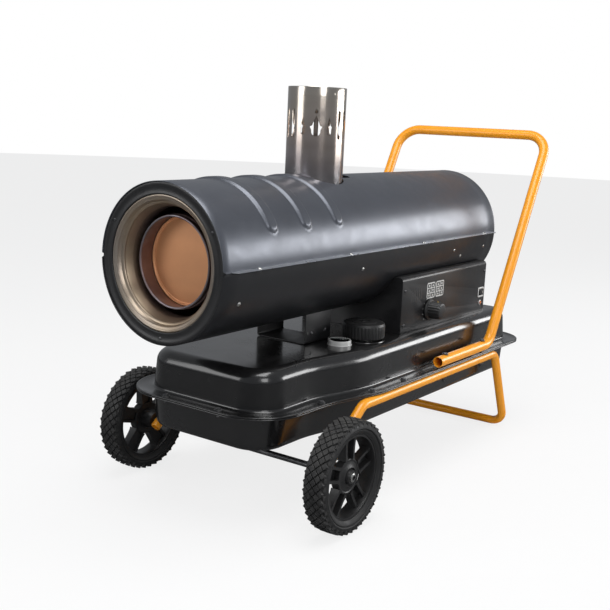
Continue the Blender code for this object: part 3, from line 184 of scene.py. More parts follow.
def rounded_path(corners: Sequence[Point], bends: Sequence[float], steps: int = 12) -> list[Vector]:
    """A path through corners, each inner corner rounded.

    Args:
        corners: the path's corners, ends included.
        bends: the bend radius at each inner corner.
        steps: chords in each bend.

    Returns:
        Points along the path.
    """
    path = [Vector(corners[0])]
    for i in range(1, len(corners) - 1):
        corner = Vector(corners[i])
        before = (Vector(corners[i - 1]) - corner).normalized()
        after = (Vector(corners[i + 1]) - corner).normalized()
        half = before.angle(after) / 2
        middle = corner + (before + after).normalized() * (bends[i - 1] / sin(half))
        reach = bends[i - 1] * cos(half) / sin(half)
        first = corner + before * reach - middle
        last = corner + after * reach - middle
        turn = first.rotation_difference(last)
        for k in range(steps + 1):
            path.append(middle + Quaternion().slerp(turn, k / steps) @ first)
    path.append(Vector(corners[-1]))
    return path


# ====================================================================== meshes
class Forge:
    """Makes closed meshes with smooth faces and crisp edges."""

    @staticmethod
    def settle(obj: bpy.types.Object, crisp: float = 35.0) -> bpy.types.Object:
        """Turns the faces outwards, smooths them and marks the edges sharper than an angle.

        Args:
            obj: a mesh object.
            crisp: edges that turn more than this many degrees stay sharp.

        Returns:
            The same object.
        """
        build = bmesh.new()
        build.from_mesh(obj.data)
        bmesh.ops.recalc_face_normals(build, faces=build.faces)
        build.to_mesh(obj.data)
        build.free()
        obj.data.shade_smooth()
        obj.data.set_sharp_from_angle(angle=radians(crisp))
        return obj

    @staticmethod
    def solid(name: str, points: Sequence, faces: Sequence, crisp: float = 35.0) -> bpy.types.Object:
        """One mesh object from points and faces.

        Args:
            name: the piece's name.
            points: its vertices.
            faces: its faces, as vertex numbers.
            crisp: see settle.

        Returns:
            The new object.
        """
        mesh = bpy.data.meshes.new(name)
        mesh.from_pydata([tuple(p) for p in points], [], faces)
        obj = bpy.data.objects.new(name, mesh)
        bpy.context.scene.collection.objects.link(obj)
        return Forge.settle(obj, crisp)

    @staticmethod
    def lofted(name: str, rings: Sequence[Sequence], crisp: float = 35.0, looped: bool = False,
               open_ends: bool = False) -> bpy.types.Object:
        """A skin over rings that have the same number of points.

        Args:
            name: the piece's name.
            rings: the rings in order.
            crisp: see settle.
            looped: joins the last ring to the first.
            open_ends: leaves the two ends without a face.

        Returns:
            The new object.
        """
        count = len(rings[0])
        points = [point for ring in rings for point in ring]
        faces = []
        if not (looped or open_ends):
            faces = [list(range(count)), list(range(len(points) - count, len(points)))]
        last = len(rings) if looped else len(rings) - 1
        for i in range(last):
            a, b = i * count, (i + 1) % len(rings) * count
            for k in range(count):
                after = (k + 1) % count
                faces.append([a + k, a + after, b + after, b + k])
        return Forge.solid(name, points, faces, crisp)

    @staticmethod
    def turned(name: str, profile: Sequence[Flat], axis: Axis = Axis.Z, centre: Point = (0.0, 0.0, 0.0),
               sides: int = 96, crisp: float = 35.0, reach: Optional[Callable] = None) -> bpy.types.Object:
        """Turns a closed profile of (radius, along) points about an axis.

        Args:
            name: the piece's name.
            profile: the section; points on the axis have radius 0.
            axis: the axis to turn about.
            centre: a point on the axis.
            sides: number of steps round.
            crisp: see settle.
            reach: changes a radius, from (radius, along, angle).

        Returns:
            The new object.
        """
        points: list[Point] = []
        rings = []
        for radius, along in profile:
            count = 1 if radius == 0.0 else sides
            rings.append([len(points) + i for i in range(count)])
            for i in range(count):
                angle = tau * i / sides
                out = reach(radius, along, angle) if reach and radius else radius
                local = axis.place(out * cos(angle), out * sin(angle), along)
                points.append(tuple(a + b for a, b in zip(local, centre)))
        faces = []
        for i, ring in enumerate(rings):
            other = rings[(i + 1) % len(rings)]
            if len(ring) == 1 and len(other) == 1:
                continue
            for k in range(sides):
                corners = [ring[k % len(ring)], ring[(k + 1) % len(ring)]]
                corners += [other[(k + 1) % len(other)], other[k % len(other)]]
                faces.append(list(dict.fromkeys(corners)))
        return Forge.solid(name, points, faces, crisp)

    @staticmethod
    def rod(name: str, radius: float, start: float, end: float, axis: Axis = Axis.Z,
            centre: Point = (0.0, 0.0, 0.0), sides: int = 96) -> bpy.types.Object:
        """A plain rod or disc.

        Args:
            name: the piece's name.
            radius: its radius.
            start: where it starts along the axis.
            end: where it ends.
            axis: the axis.
            centre: a point on the axis.
            sides: number of steps round.

        Returns:
            The new object.
        """
        profile = [(0.0, start), (radius, start), (radius, end), (0.0, end)]
        return Forge.turned(name, profile, axis, centre, sides)

    @staticmethod
    def prism(name: str, outline: Sequence[Flat], start: float, end: float, axis: Axis = Axis.Z,
              round_edge: float = 0.0, crisp: float = 35.0) -> bpy.types.Object:
        """Pushes an outline along an axis, with an optional small round on both rims.

        Args:
            name: the piece's name.
            outline: two-number points.
            start: where it starts along the axis.
            end: where it ends.
            axis: the axis.
            round_edge: radius of the rounded rims.
            crisp: see settle.

        Returns:
            The new object.
        """
        rings = [[axis.place(u, v, along) for u, v in outline] for along in (start, end)]
        obj = Forge.lofted(name, rings, crisp)
        return Forge.bevelled(obj, round_edge, crisp) if round_edge else obj

    @staticmethod
    def bevelled(obj: bpy.types.Object, width: float, crisp: float = 35.0, steps: int = 3,
                 limit: float = 40.0) -> bpy.types.Object:
        """Rounds the edges that turn more than a limit.

        Args:
            obj: a mesh object.
            width: how far the round reaches on each side of the edge.
            crisp: see settle.
            steps: segments of the round.
            limit: the limit in degrees.

        Returns:
            The same object.
        """
        modifier = obj.modifiers.new("round", "BEVEL")
        modifier.width = width
        modifier.segments = steps
        modifier.limit_method = "ANGLE"
        modifier.angle_limit = radians(limit)
        return Forge.settle(Forge.bake(obj), crisp)

    @staticmethod
    def bake(obj: bpy.types.Object) -> bpy.types.Object:
        """Puts an object's modifiers into its mesh.

        Args:
            obj: a mesh object.

        Returns:
            The same object, with no modifiers.
        """
        bpy.context.view_layer.update()
        graph = bpy.context.evaluated_depsgraph_get()
        mesh = bpy.data.meshes.new_from_object(obj.evaluated_get(graph))
        obj.modifiers.clear()
        old = obj.data
        obj.data = mesh
        bpy.data.meshes.remove(old)
        return obj

    @staticmethod
    def cut(obj: bpy.types.Object, *cutters: bpy.types.Object, crisp: float = 35.0) -> bpy.types.Object:
        """Takes cutters out of an object, then deletes them.

        Args:
            obj: the object to cut.
            *cutters: closed meshes.
            crisp: see settle.

        Returns:
            The same object.
        """
        for cutter in cutters:
            modifier = obj.modifiers.new("cut", "BOOLEAN")
            modifier.operation = "DIFFERENCE"
            modifier.solver = "EXACT"
            modifier.object = cutter
        Forge.bake(obj)
        for cutter in cutters:
            bpy.data.objects.remove(cutter)
        return Forge.settle(obj, crisp)

    @staticmethod
    def joined(name: str, *parts: bpy.types.Object, crisp: float = 35.0) -> bpy.types.Object:
        """Puts several meshes into one object without changing their shapes.

        Args:
            name: the new object's name.
            *parts: the meshes, which are deleted.
            crisp: see settle.

        Returns:
            The new object.
        """
        build = bmesh.new()
        for part in parts:
            build.from_mesh(part.data)
            bpy.data.objects.remove(part)
        mesh = bpy.data.meshes.new(name)
        build.to_mesh(mesh)
        build.free()
        obj = bpy.data.objects.new(name, mesh)
        bpy.context.scene.collection.objects.link(obj)
        return Forge.settle(obj, crisp)

    @staticmethod
    def swept(name: str, path: Sequence[Vector], radius: float, bore: float = 0.0, sides: int = 32,
              lip: float = 0.0) -> bpy.types.Object:
        """A round bar or an open tube along a path.

        Args:
            name: the piece's name.
            path: points along the middle.
            radius: outer radius.
            bore: inner radius, or 0 for a solid bar.
            sides: number of steps round.
            lip: rounds the two cut ends by this much.

        Returns:
            The new object.
        """
        tangents = []
        for i in range(len(path)):
            before = path[max(i - 1, 0)]
            after = path[min(i + 1, len(path) - 1)]
            tangents.append((after - before).normalized())
        side = tangents[0].orthogonal().normalized()
        frames = []
        for i, tangent in enumerate(tangents):
            if i:
                side = tangents[i - 1].rotation_difference(tangent) @ side
            frames.append((side.copy(), tangent.cross(side)))

        def ring(i: int, size: float, push: float = 0.0) -> list[Vector]:
            """The ring at path point i, of a radius, pushed along the path."""
            across, up = frames[i]
            middle = path[i] + tangents[i] * push
            return [middle + (across * cos(tau * k / sides) + up * sin(tau * k / sides)) * size
                    for k in range(sides)]

        end = len(path) - 1
        rings = [ring(0, radius - lip, 0.0), ring(0, radius, lip)] if lip else [ring(0, radius)]
        rings += [ring(i, radius) for i in range(1, end)]
        rings += [ring(end, radius, -lip), ring(end, radius - lip, 0.0)] if lip else [ring(end, radius)]
        if not bore:
            return Forge.lofted(name, rings, 40.0)
        rings += [ring(i, bore) for i in range(end, -1, -1)]
        return Forge.lofted(name, rings, 40.0, looped=True)

    @staticmethod
    def ring_wire(name: str, radius: float, wire: float, axis: Axis, centre: Point, sides: int = 96,
                  steps: int = 12) -> bpy.types.Object:
        """A wire bent into a circle.

        Args:
            name: the piece's name.
            radius: the circle's radius.
            wire: the wire's radius.
            axis: the axis the circle goes round.
            centre: the circle's centre.
            sides: steps round the circle.
            steps: steps round the wire.

        Returns:
            The new object.
        """
        profile = arc((radius, 0.0), wire, 0, 360 - 360 / steps, steps - 1)
        return Forge.turned(name, profile, axis, centre, sides, 60.0)

    @staticmethod
    def aimed(obj: bpy.types.Object, place: Point, direction: Point, spin: float = 0.0) -> bpy.types.Object:
        """Moves a mesh made at the origin along +Z to a place and a direction, in its own vertices.

        Args:
            obj: the mesh object.
            place: where its origin goes.
            direction: where its +Z points.
            spin: turn about its own +Z in degrees.

        Returns:
            The same object.
        """
        turn = Vector((0.0, 0.0, 1.0)).rotation_difference(Vector(direction).normalized())
        move = Matrix.Translation(Vector(place)) @ turn.to_matrix().to_4x4() @ Matrix.Rotation(radians(spin),
                                                                                               4, "Z")
        obj.data.transform(move)
        return obj


# ====================================================================== shader groups
class Graph:
    """A node tree that is being filled in."""

    def __init__(self, tree: bpy.types.NodeTree) -> None:
        """Starts on a tree.

        Args:
            tree: a material's or a group's node tree.
        """
        self.tree = tree

    def add(self, kind: str, **values: object) -> bpy.types.Node:
        """Adds a node and sets its properties and sockets.

        Args:
            kind: the node's type, without ShaderNode.
            **values: properties by name; a name that starts with in_ sets the input socket of that name.

        Returns:
            The new node.
        """
        node = self.tree.nodes.new(kind if kind.startswith("NodeGroup") else f"ShaderNode{kind}")
        for key, value in values.items():
            if key.startswith("in_"):
                node.inputs[key[3:].replace("_", " ")].default_value = value
            else:
                setattr(node, key, value)
        return node

    def link(self, out: bpy.types.NodeSocket, into: bpy.types.NodeSocket) -> None:
        """Joins an output to an input."""
        self.tree.links.new(out, into)

    def sum(self, kind: str, first: object, second: object = 0.0,
            clamp: bool = False) -> bpy.types.NodeSocket:
        """One Math node.

        Args:
            kind: its operation.
            first: a socket or a number.
            second: a socket or a number.
            clamp: keeps the result between 0 and 1.

        Returns:
            Its output.
        """
        node = self.add("Math", operation=kind, use_clamp=clamp)
        for i, value in enumerate((first, second)):
            if isinstance(value, bpy.types.NodeSocket):
                self.link(value, node.inputs[i])
            else:
                node.inputs[i].default_value = value
        return node.outputs[0]

    def ramp(self, value: bpy.types.NodeSocket, low: float, high: float, to_low: float = 0.0,
             to_high: float = 1.0) -> bpy.types.NodeSocket:
        """One Map Range node, held to its ends.

        Args:
            value: the number to map.
            low: the number that gives to_low.
            high: the number that gives to_high.
            to_low: result at low.
            to_high: result at high.

        Returns:
            The mapped number.
        """
        node = self.add("MapRange", clamp=True)
        self.link(value, node.inputs["Value"])
        for name, number in (("From Min", low), ("From Max", high), ("To Min", to_low), ("To Max", to_high)):
            node.inputs[name].default_value = number
        return node.outputs["Result"]

    def mix(self, share: object, first: object, second: object, how: str = "MIX") -> bpy.types.NodeSocket:
        """One colour Mix node.

        Args:
            share: how much of the second, a socket or a number.
            first: a colour or a socket.
            second: a colour or a socket.
            how: the blend type.

        Returns:
            The mixed colour.
        """
        node = self.add("Mix", data_type="RGBA", blend_type=how)
        for socket, value in ((node.inputs[0], share), (node.inputs[6], first), (node.inputs[7], second)):
            if isinstance(value, bpy.types.NodeSocket):
                self.link(value, socket)
            elif isinstance(value, (int, float)):
                socket.default_value = value
            else:
                socket.default_value = (*value[:3], 1.0)
        return node.outputs[2]


class Groups:
    """The shader groups that several finishes share, each made once."""

    _made: dict[str, bpy.types.NodeTree] = {}

    @classmethod
    def start(cls, name: str, inputs: Sequence[tuple[str, str, object]],
              outputs: Sequence[tuple[str, str]]) -> tuple[Graph, bpy.types.Node, bpy.types.Node]:
        """Makes an empty group with named sockets.

        Args:
            name: the group's name.
            inputs: (name, kind, starting value) of each input, kind being Float, Color or Vector.
            outputs: (name, kind) of each output.

        Returns:
            The group's graph, its input node and its output node.
        """
        tree = bpy.data.node_groups.new(name, "ShaderNodeTree")
        for label, kind, value in inputs:
            socket = tree.interface.new_socket(label, in_out="INPUT", socket_type=f"NodeSocket{kind}")
            if value is not None:
                socket.default_value = value
        for label, kind in outputs:
            tree.interface.new_socket(label, in_out="OUTPUT", socket_type=f"NodeSocket{kind}")
        cls._made[name] = tree
        graph = Graph(tree)
        return graph, graph.add("NodeGroupInput"), graph.add("NodeGroupOutput")

    @classmethod
    def grain(cls) -> bpy.types.NodeTree:
        """Fine unevenness of a coated or moulded surface, with a slow swell under it.

        Returns:
            The group, with outputs Height and Shade.
        """
        if "surface_grain" in cls._made:
            return cls._made["surface_grain"]
        graph, enter, leave = cls.start(
            "surface_grain",
            [("Vector", "Vector", None), ("Scale", "Float", 600.0), ("Swell", "Float", 0.25)],
            [("Height", "Float"), ("Shade", "Float")],
        )
        fine = graph.add("TexNoise", in_Detail=3.0, in_Roughness=0.55)
        graph.link(enter.outputs["Vector"], fine.inputs["Vector"])
        graph.link(enter.outputs["Scale"], fine.inputs["Scale"])
        slow = graph.add("TexNoise", in_Detail=2.0, in_Roughness=0.5)
        graph.link(enter.outputs["Vector"], slow.inputs["Vector"])
        graph.link(graph.sum("MULTIPLY", enter.outputs["Scale"], 0.045), slow.inputs["Scale"])
        swell = graph.sum("MULTIPLY", slow.outputs["Fac"], enter.outputs["Swell"])
        graph.link(graph.sum("ADD", fine.outputs["Fac"], swell), leave.inputs["Height"])
        graph.link(slow.outputs["Fac"], leave.inputs["Shade"])
        return cls._made["surface_grain"]

    @classmethod
    def mottle(cls) -> bpy.types.NodeTree:
        """A colour that varies a little from place to place.

        Returns:
            The group, with outputs Colour and Shade.
        """
        if "colour_mottle" in cls._made:
            return cls._made["colour_mottle"]
        graph, enter, leave = cls.start(
            "colour_mottle",
            [("Vector", "Vector", None), ("Colour", "Color", (0.5, 0.5, 0.5, 1.0)), ("Scale", "Float", 14.0),
             ("Amount", "Float", 0.12)],
            [("Colour", "Color"), ("Shade", "Float")],
        )
        noise = graph.add("TexNoise", in_Detail=5.0, in_Roughness=0.6)
        graph.link(enter.outputs["Vector"], noise.inputs["Vector"])
        graph.link(enter.outputs["Scale"], noise.inputs["Scale"])
        swing = graph.sum("MULTIPLY", graph.ramp(noise.outputs["Fac"], 0.3, 0.7, -1.0, 1.0),
                          enter.outputs["Amount"])
        bright = graph.add("HueSaturation")
        graph.link(enter.outputs["Colour"], bright.inputs["Color"])
        graph.link(graph.sum("ADD", swing, 1.0), bright.inputs["Value"])
        graph.link(bright.outputs["Color"], leave.inputs["Colour"])
        graph.link(noise.outputs["Fac"], leave.inputs["Shade"])
        return cls._made["colour_mottle"]

    @classmethod
    def dust(cls) -> bpy.types.NodeTree:
        """Thin dust on faces that look up, thinned by noise.

        Returns:
            The group, with outputs Colour and Mask.
        """
        if "settled_dust" in cls._made:
            return cls._made["settled_dust"]
        graph, enter, leave = cls.start(
            "settled_dust",
            [("Vector", "Vector", None), ("Colour", "Color", (0.5, 0.5, 0.5, 1.0)),
             ("Dust", "Color", (0.34, 0.32, 0.29, 1.0)), ("Amount", "Float", 0.06)],
            [("Colour", "Color"), ("Mask", "Float")],
        )
        shape = graph.add("NewGeometry")
        apart = graph.add("SeparateXYZ")
        graph.link(shape.outputs["Normal"], apart.inputs[0])
        up = graph.ramp(apart.outputs["Z"], 0.35, 1.0)
        noise = graph.add("TexNoise", in_Scale=38.0, in_Detail=6.0, in_Roughness=0.7)
        graph.link(enter.outputs["Vector"], noise.inputs["Vector"])
        patch = graph.ramp(noise.outputs["Fac"], 0.35, 0.75)
        mask = graph.sum("MULTIPLY", graph.sum("MULTIPLY", up, patch), enter.outputs["Amount"], clamp=True)
        graph.link(graph.mix(mask, enter.outputs["Colour"], enter.outputs["Dust"]), leave.inputs["Colour"])
        graph.link(mask, leave.inputs["Mask"])
        return cls._made["settled_dust"]

    @classmethod
    def wear(cls) -> bpy.types.NodeTree:
        """Rubbed outer edges, broken up by noise.

        Returns:
            The group, with outputs Colour and Mask.
        """
        if "edge_wear" in cls._made:
            return cls._made["edge_wear"]
        graph, enter, leave = cls.start(
            "edge_wear",
            [("Vector", "Vector", None), ("Colour", "Color", (0.5, 0.5, 0.5, 1.0)),
             ("Bare", "Color", (0.4, 0.4, 0.4, 1.0)), ("Amount", "Float", 0.4)],
            [("Colour", "Color"), ("Mask", "Float")],
        )
        shape = graph.add("NewGeometry")
        edge = graph.ramp(shape.outputs["Pointiness"], 0.525, 0.60)
        noise = graph.add("TexNoise", in_Scale=90.0, in_Detail=6.0, in_Roughness=0.65)
        graph.link(enter.outputs["Vector"], noise.inputs["Vector"])
        patch = graph.ramp(noise.outputs["Fac"], 0.42, 0.62)
        mask = graph.sum("MULTIPLY", graph.sum("MULTIPLY", edge, patch), enter.outputs["Amount"], clamp=True)
        graph.link(graph.mix(mask, enter.outputs["Colour"], enter.outputs["Bare"]), leave.inputs["Colour"])
        graph.link(mask, leave.inputs["Mask"])
        return cls._made["edge_wear"]

    @classmethod
    def gloss_spread(cls) -> bpy.types.NodeTree:
        """A roughness that varies with handling smudges.

        Returns:
            The group, with output Roughness.
        """
        if "gloss_spread" in cls._made:
            return cls._made["gloss_spread"]
        graph, enter, leave = cls.start(
            "gloss_spread",
            [("Vector", "Vector", None), ("Roughness", "Float", 0.4), ("Spread", "Float", 0.08),
             ("Scale", "Float", 22.0)],
            [("Roughness", "Float")],
        )
        noise = graph.add("TexNoise", in_Detail=4.0, in_Roughness=0.6, in_Distortion=0.6)
        graph.link(enter.outputs["Vector"], noise.inputs["Vector"])
        graph.link(enter.outputs["Scale"], noise.inputs["Scale"])
        swing = graph.sum("MULTIPLY", graph.ramp(noise.outputs["Fac"], 0.3, 0.7, -1.0, 1.0),
                          enter.outputs["Spread"])
        graph.link(graph.sum("ADD", swing, enter.outputs["Roughness"], clamp=True), leave.inputs["Roughness"])
        return cls._made["gloss_spread"]

    @classmethod
    def brushed(cls) -> bpy.types.NodeTree:
        """Fine lines drawn along one direction, as on rolled or brushed sheet.

        Returns:
            The group, with outputs Height and Shade.
        """
        if "brushed_lines" in cls._made:
            return cls._made["brushed_lines"]
        graph, enter, leave = cls.start(
            "brushed_lines",
            [("Vector", "Vector", None), ("Stretch", "Vector", (900.0, 900.0, 12.0))],
            [("Height", "Float"), ("Shade", "Float")],
        )
        scaled = graph.add("VectorMath", operation="MULTIPLY")
        graph.link(enter.outputs["Vector"], scaled.inputs[0])
        graph.link(enter.outputs["Stretch"], scaled.inputs[1])
        fine = graph.add("TexNoise", in_Scale=1.0, in_Detail=4.0, in_Roughness=0.7)
        graph.link(scaled.outputs[0], fine.inputs["Vector"])
        wide = graph.add("TexNoise", in_Scale=0.05, in_Detail=2.0, in_Roughness=0.5)
        graph.link(scaled.outputs[0], wide.inputs["Vector"])
        graph.link(fine.outputs["Fac"], leave.inputs["Height"])
        graph.link(wide.outputs["Fac"], leave.inputs["Shade"])
        return cls._made["brushed_lines"]

    @classmethod
    def heat(cls) -> bpy.types.NodeTree:
        """The straw, copper and blue bands that heat leaves on bare steel.

        Returns:
            The group, with output Colour.
        """
        if "heat_tint" in cls._made:
            return cls._made["heat_tint"]
        graph, enter, leave = cls.start(
            "heat_tint",
            [("Vector", "Vector", None), ("Colour", "Color", (0.5, 0.5, 0.5, 1.0)), ("Place", "Float", 0.5),
             ("Amount", "Float", 0.5)],
            [("Colour", "Color")],
        )
        noise = graph.add("TexNoise", in_Scale=9.0, in_Detail=4.0, in_Roughness=0.55)
        graph.link(enter.outputs["Vector"], noise.inputs["Vector"])
        wander = graph.ramp(noise.outputs["Fac"], 0.3, 0.7, -0.16, 0.16)
        bands = graph.add("ValToRGB")
        stops = bands.color_ramp
        stops.elements[0].position = 0.0
        stops.elements[0].color = (0.60, 0.56, 0.50, 1.0)
        stops.elements[1].position = 1.0
        stops.elements[1].color = (0.30, 0.33, 0.42, 1.0)
        for where, tint in ((0.3, (0.58, 0.46, 0.30, 1.0)), (0.55, (0.50, 0.31, 0.20, 1.0)),
                            (0.78, (0.36, 0.24, 0.27, 1.0))):
            stops.elements.new(where).color = tint
        graph.link(graph.sum("ADD", enter.outputs["Place"], wander, clamp=True), bands.inputs["Fac"])
        tinted = graph.mix(enter.outputs["Amount"], enter.outputs["Colour"], bands.outputs["Color"])
        graph.link(tinted, leave.inputs["Colour"])
        return cls._made["heat_tint"]


# ====================================================================== finishes
@dataclass(frozen=True)
class Finish:
    """One finish of the heater. Its texture follows the piece, in metres."""

    name: str
    slot: str
    colour: Colour
    roughness: float
    metallic: float = 0.0
    coat: float = 0.0
    coat_roughness: float = 0.1
    spread: float = 0.06
    mottle: float = 0.08
    mottle_scale: float = 14.0
    grain_scale: float = 700.0
    grain_depth: float = 0.00004
    swell: float = 0.25
    dust: float = 0.0
    wear: float = 0.0
    bare: Colour = (0.42, 0.42, 0.43)
    flake: float = 0.0

    def material(self) -> bpy.types.Material:
        """The finish's material, made at its first use.

        Returns:
            The material.
        """
        known = bpy.data.materials.get(self.name)
        return known if known else self.make()

    def base(self) -> tuple[bpy.types.Material, Graph, bpy.types.Node, bpy.types.NodeSocket]:
        """Starts the material with its plain numbers set on the shader.

        Returns:
            The material, its graph, its Principled shader and the piece's own coordinates.
        """
        material = bpy.data.materials.new(self.name)
        material.use_nodes = True
        graph = Graph(material.node_tree)
        shader = material.node_tree.nodes["Principled BSDF"]
        shader.inputs["Metallic"].default_value = self.metallic
        shader.inputs["Coat Weight"].default_value = self.coat
        shader.inputs["Coat Roughness"].default_value = self.coat_roughness
        place = graph.add("TexCoord").outputs["Object"]
        return material, graph, shader, place

    def group(self, graph: Graph, tree: bpy.types.NodeTree, place: bpy.types.NodeSocket,
              **values: object) -> bpy.types.Node:
        """Places a shared group in the material.

        Args:
            graph: the material's graph.
            tree: the group.
            place: the coordinates to feed it.
            **values: its inputs, as numbers, colours or sockets.

        Returns:
            The group's node.
        """
        node = graph.add("Group", node_tree=tree)
        graph.link(place, node.inputs["Vector"])
        for key, value in values.items():
            if isinstance(value, bpy.types.NodeSocket):
                graph.link(value, node.inputs[key])
            else:
                node.inputs[key].default_value = value
        return node

    def colour_chain(self, graph: Graph, place: bpy.types.NodeSocket,
                     start: Optional[bpy.types.NodeSocket] = None) -> bpy.types.NodeSocket:
        """Base colour, then mottle, edge wear and dust.

        Args:
            graph: the material's graph.
            place: the piece's coordinates.
            start: a colour to start from in place of the finish's own.

        Returns:
            The final colour.
        """
        first = start if start else (*self.colour, 1.0)
        colour = self.group(graph, Groups.mottle(), place, Colour=first, Scale=self.mottle_scale,
                            Amount=self.mottle).outputs["Colour"]
        if self.flake:
            spark = graph.add("TexVoronoi", in_Scale=2600.0, feature="F1")
            graph.link(place, spark.inputs["Vector"])
            apart = graph.add("SeparateColor")
            graph.link(spark.outputs["Color"], apart.inputs[0])
            lit = graph.ramp(apart.outputs[0], 0.55, 1.0, 0.0, self.flake)
            colour = graph.mix(lit, colour, (0.55, 0.57, 0.60), "ADD")
        if self.wear:
            colour = self.group(graph, Groups.wear(), place, Colour=colour, Bare=(*self.bare, 1.0),
                                Amount=self.wear).outputs["Colour"]
        if self.dust:
            colour = self.group(graph, Groups.dust(), place, Colour=colour,
                                Amount=self.dust).outputs["Colour"]
        return colour

    def make(self) -> bpy.types.Material:
        """Builds the material.

        Returns:
            The material.
        """
        material, graph, shader, place = self.base()
        graph.link(self.colour_chain(graph, place), shader.inputs["Base Color"])
        rough = self.group(graph, Groups.gloss_spread(), place, Roughness=self.roughness, Spread=self.spread)
        graph.link(rough.outputs["Roughness"], shader.inputs["Roughness"])
        grain = self.group(graph, Groups.grain(), place, Scale=self.grain_scale, Swell=self.swell)
        self.bump(graph, shader, grain.outputs["Height"], self.grain_depth)
        return material

    def bump(self, graph: Graph, shader: bpy.types.Node, height: bpy.types.NodeSocket, depth: float) -> None:
        """Feeds a height to the shader's normal.

        Args:
            graph: the material's graph.
            shader: its Principled shader.
            height: the height, about 0 to 1.
            depth: what a height of 1 is in metres.
        """
        node = graph.add("Bump", in_Distance=depth, in_Strength=1.0)
        graph.link(height, node.inputs["Height"])
        graph.link(node.outputs["Normal"], shader.inputs["Normal"])


@dataclass(frozen=True)
class SheetFinish(Finish):
    """Bare sheet metal with fine lines along one direction and an optional heat tint."""

    stretch: Point = (900.0, 900.0, 12.0)
    line_depth: float = 0.00002
    line_shade: float = 0.25
    tint: float = 0.0
    tint_axis: Axis = Axis.Z
    tint_from: float = 0.0
    tint_to: float = 1.0

    def make(self) -> bpy.types.Material:
        """Builds the material.

        Returns:
            The material.
        """
        material, graph, shader, place = self.base()
        lines = self.group(graph, Groups.brushed(), place, Stretch=self.stretch)
        shade = graph.ramp(lines.outputs["Shade"], 0.35, 0.65, 1.0 - self.line_shade,
                           1.0 + 0.4 * self.line_shade)
        tone = graph.add("HueSaturation", in_Color=(*self.colour, 1.0))
        graph.link(shade, tone.inputs["Value"])
        colour = tone.outputs["Color"]
        if self.tint:
            apart = graph.add("SeparateXYZ")
            graph.link(place, apart.inputs[0])
            along = graph.ramp(apart.outputs[self.tint_axis.value], self.tint_from, self.tint_to)
            colour = self.group(graph, Groups.heat(), place, Colour=colour, Place=along,
                                Amount=self.tint).outputs["Colour"]
        graph.link(self.colour_chain(graph, place, colour), shader.inputs["Base Color"])
        rough = self.group(graph, Groups.gloss_spread(), place, Roughness=self.roughness, Spread=self.spread)
        graph.link(rough.outputs["Roughness"], shader.inputs["Roughness"])
        self.bump(graph, shader, lines.outputs["Height"], self.line_depth)
        return material


@dataclass(frozen=True)
class ClearFinish(Finish):
    """Clear or tinted plastic that light goes through."""

    through: float = 1.0
    bend: float = 1.46

    def make(self) -> bpy.types.Material:
        """Builds the material.

        Returns:
            The material.
        """
        material, graph, shader, place = self.base()
        shader.inputs["Transmission Weight"].default_value = self.through
        shader.inputs["IOR"].default_value = self.bend
        graph.link(self.colour_chain(graph, place), shader.inputs["Base Color"])
        rough = self.group(graph, Groups.gloss_spread(), place, Roughness=self.roughness, Spread=self.spread)
        graph.link(rough.outputs["Roughness"], shader.inputs["Roughness"])
        return material


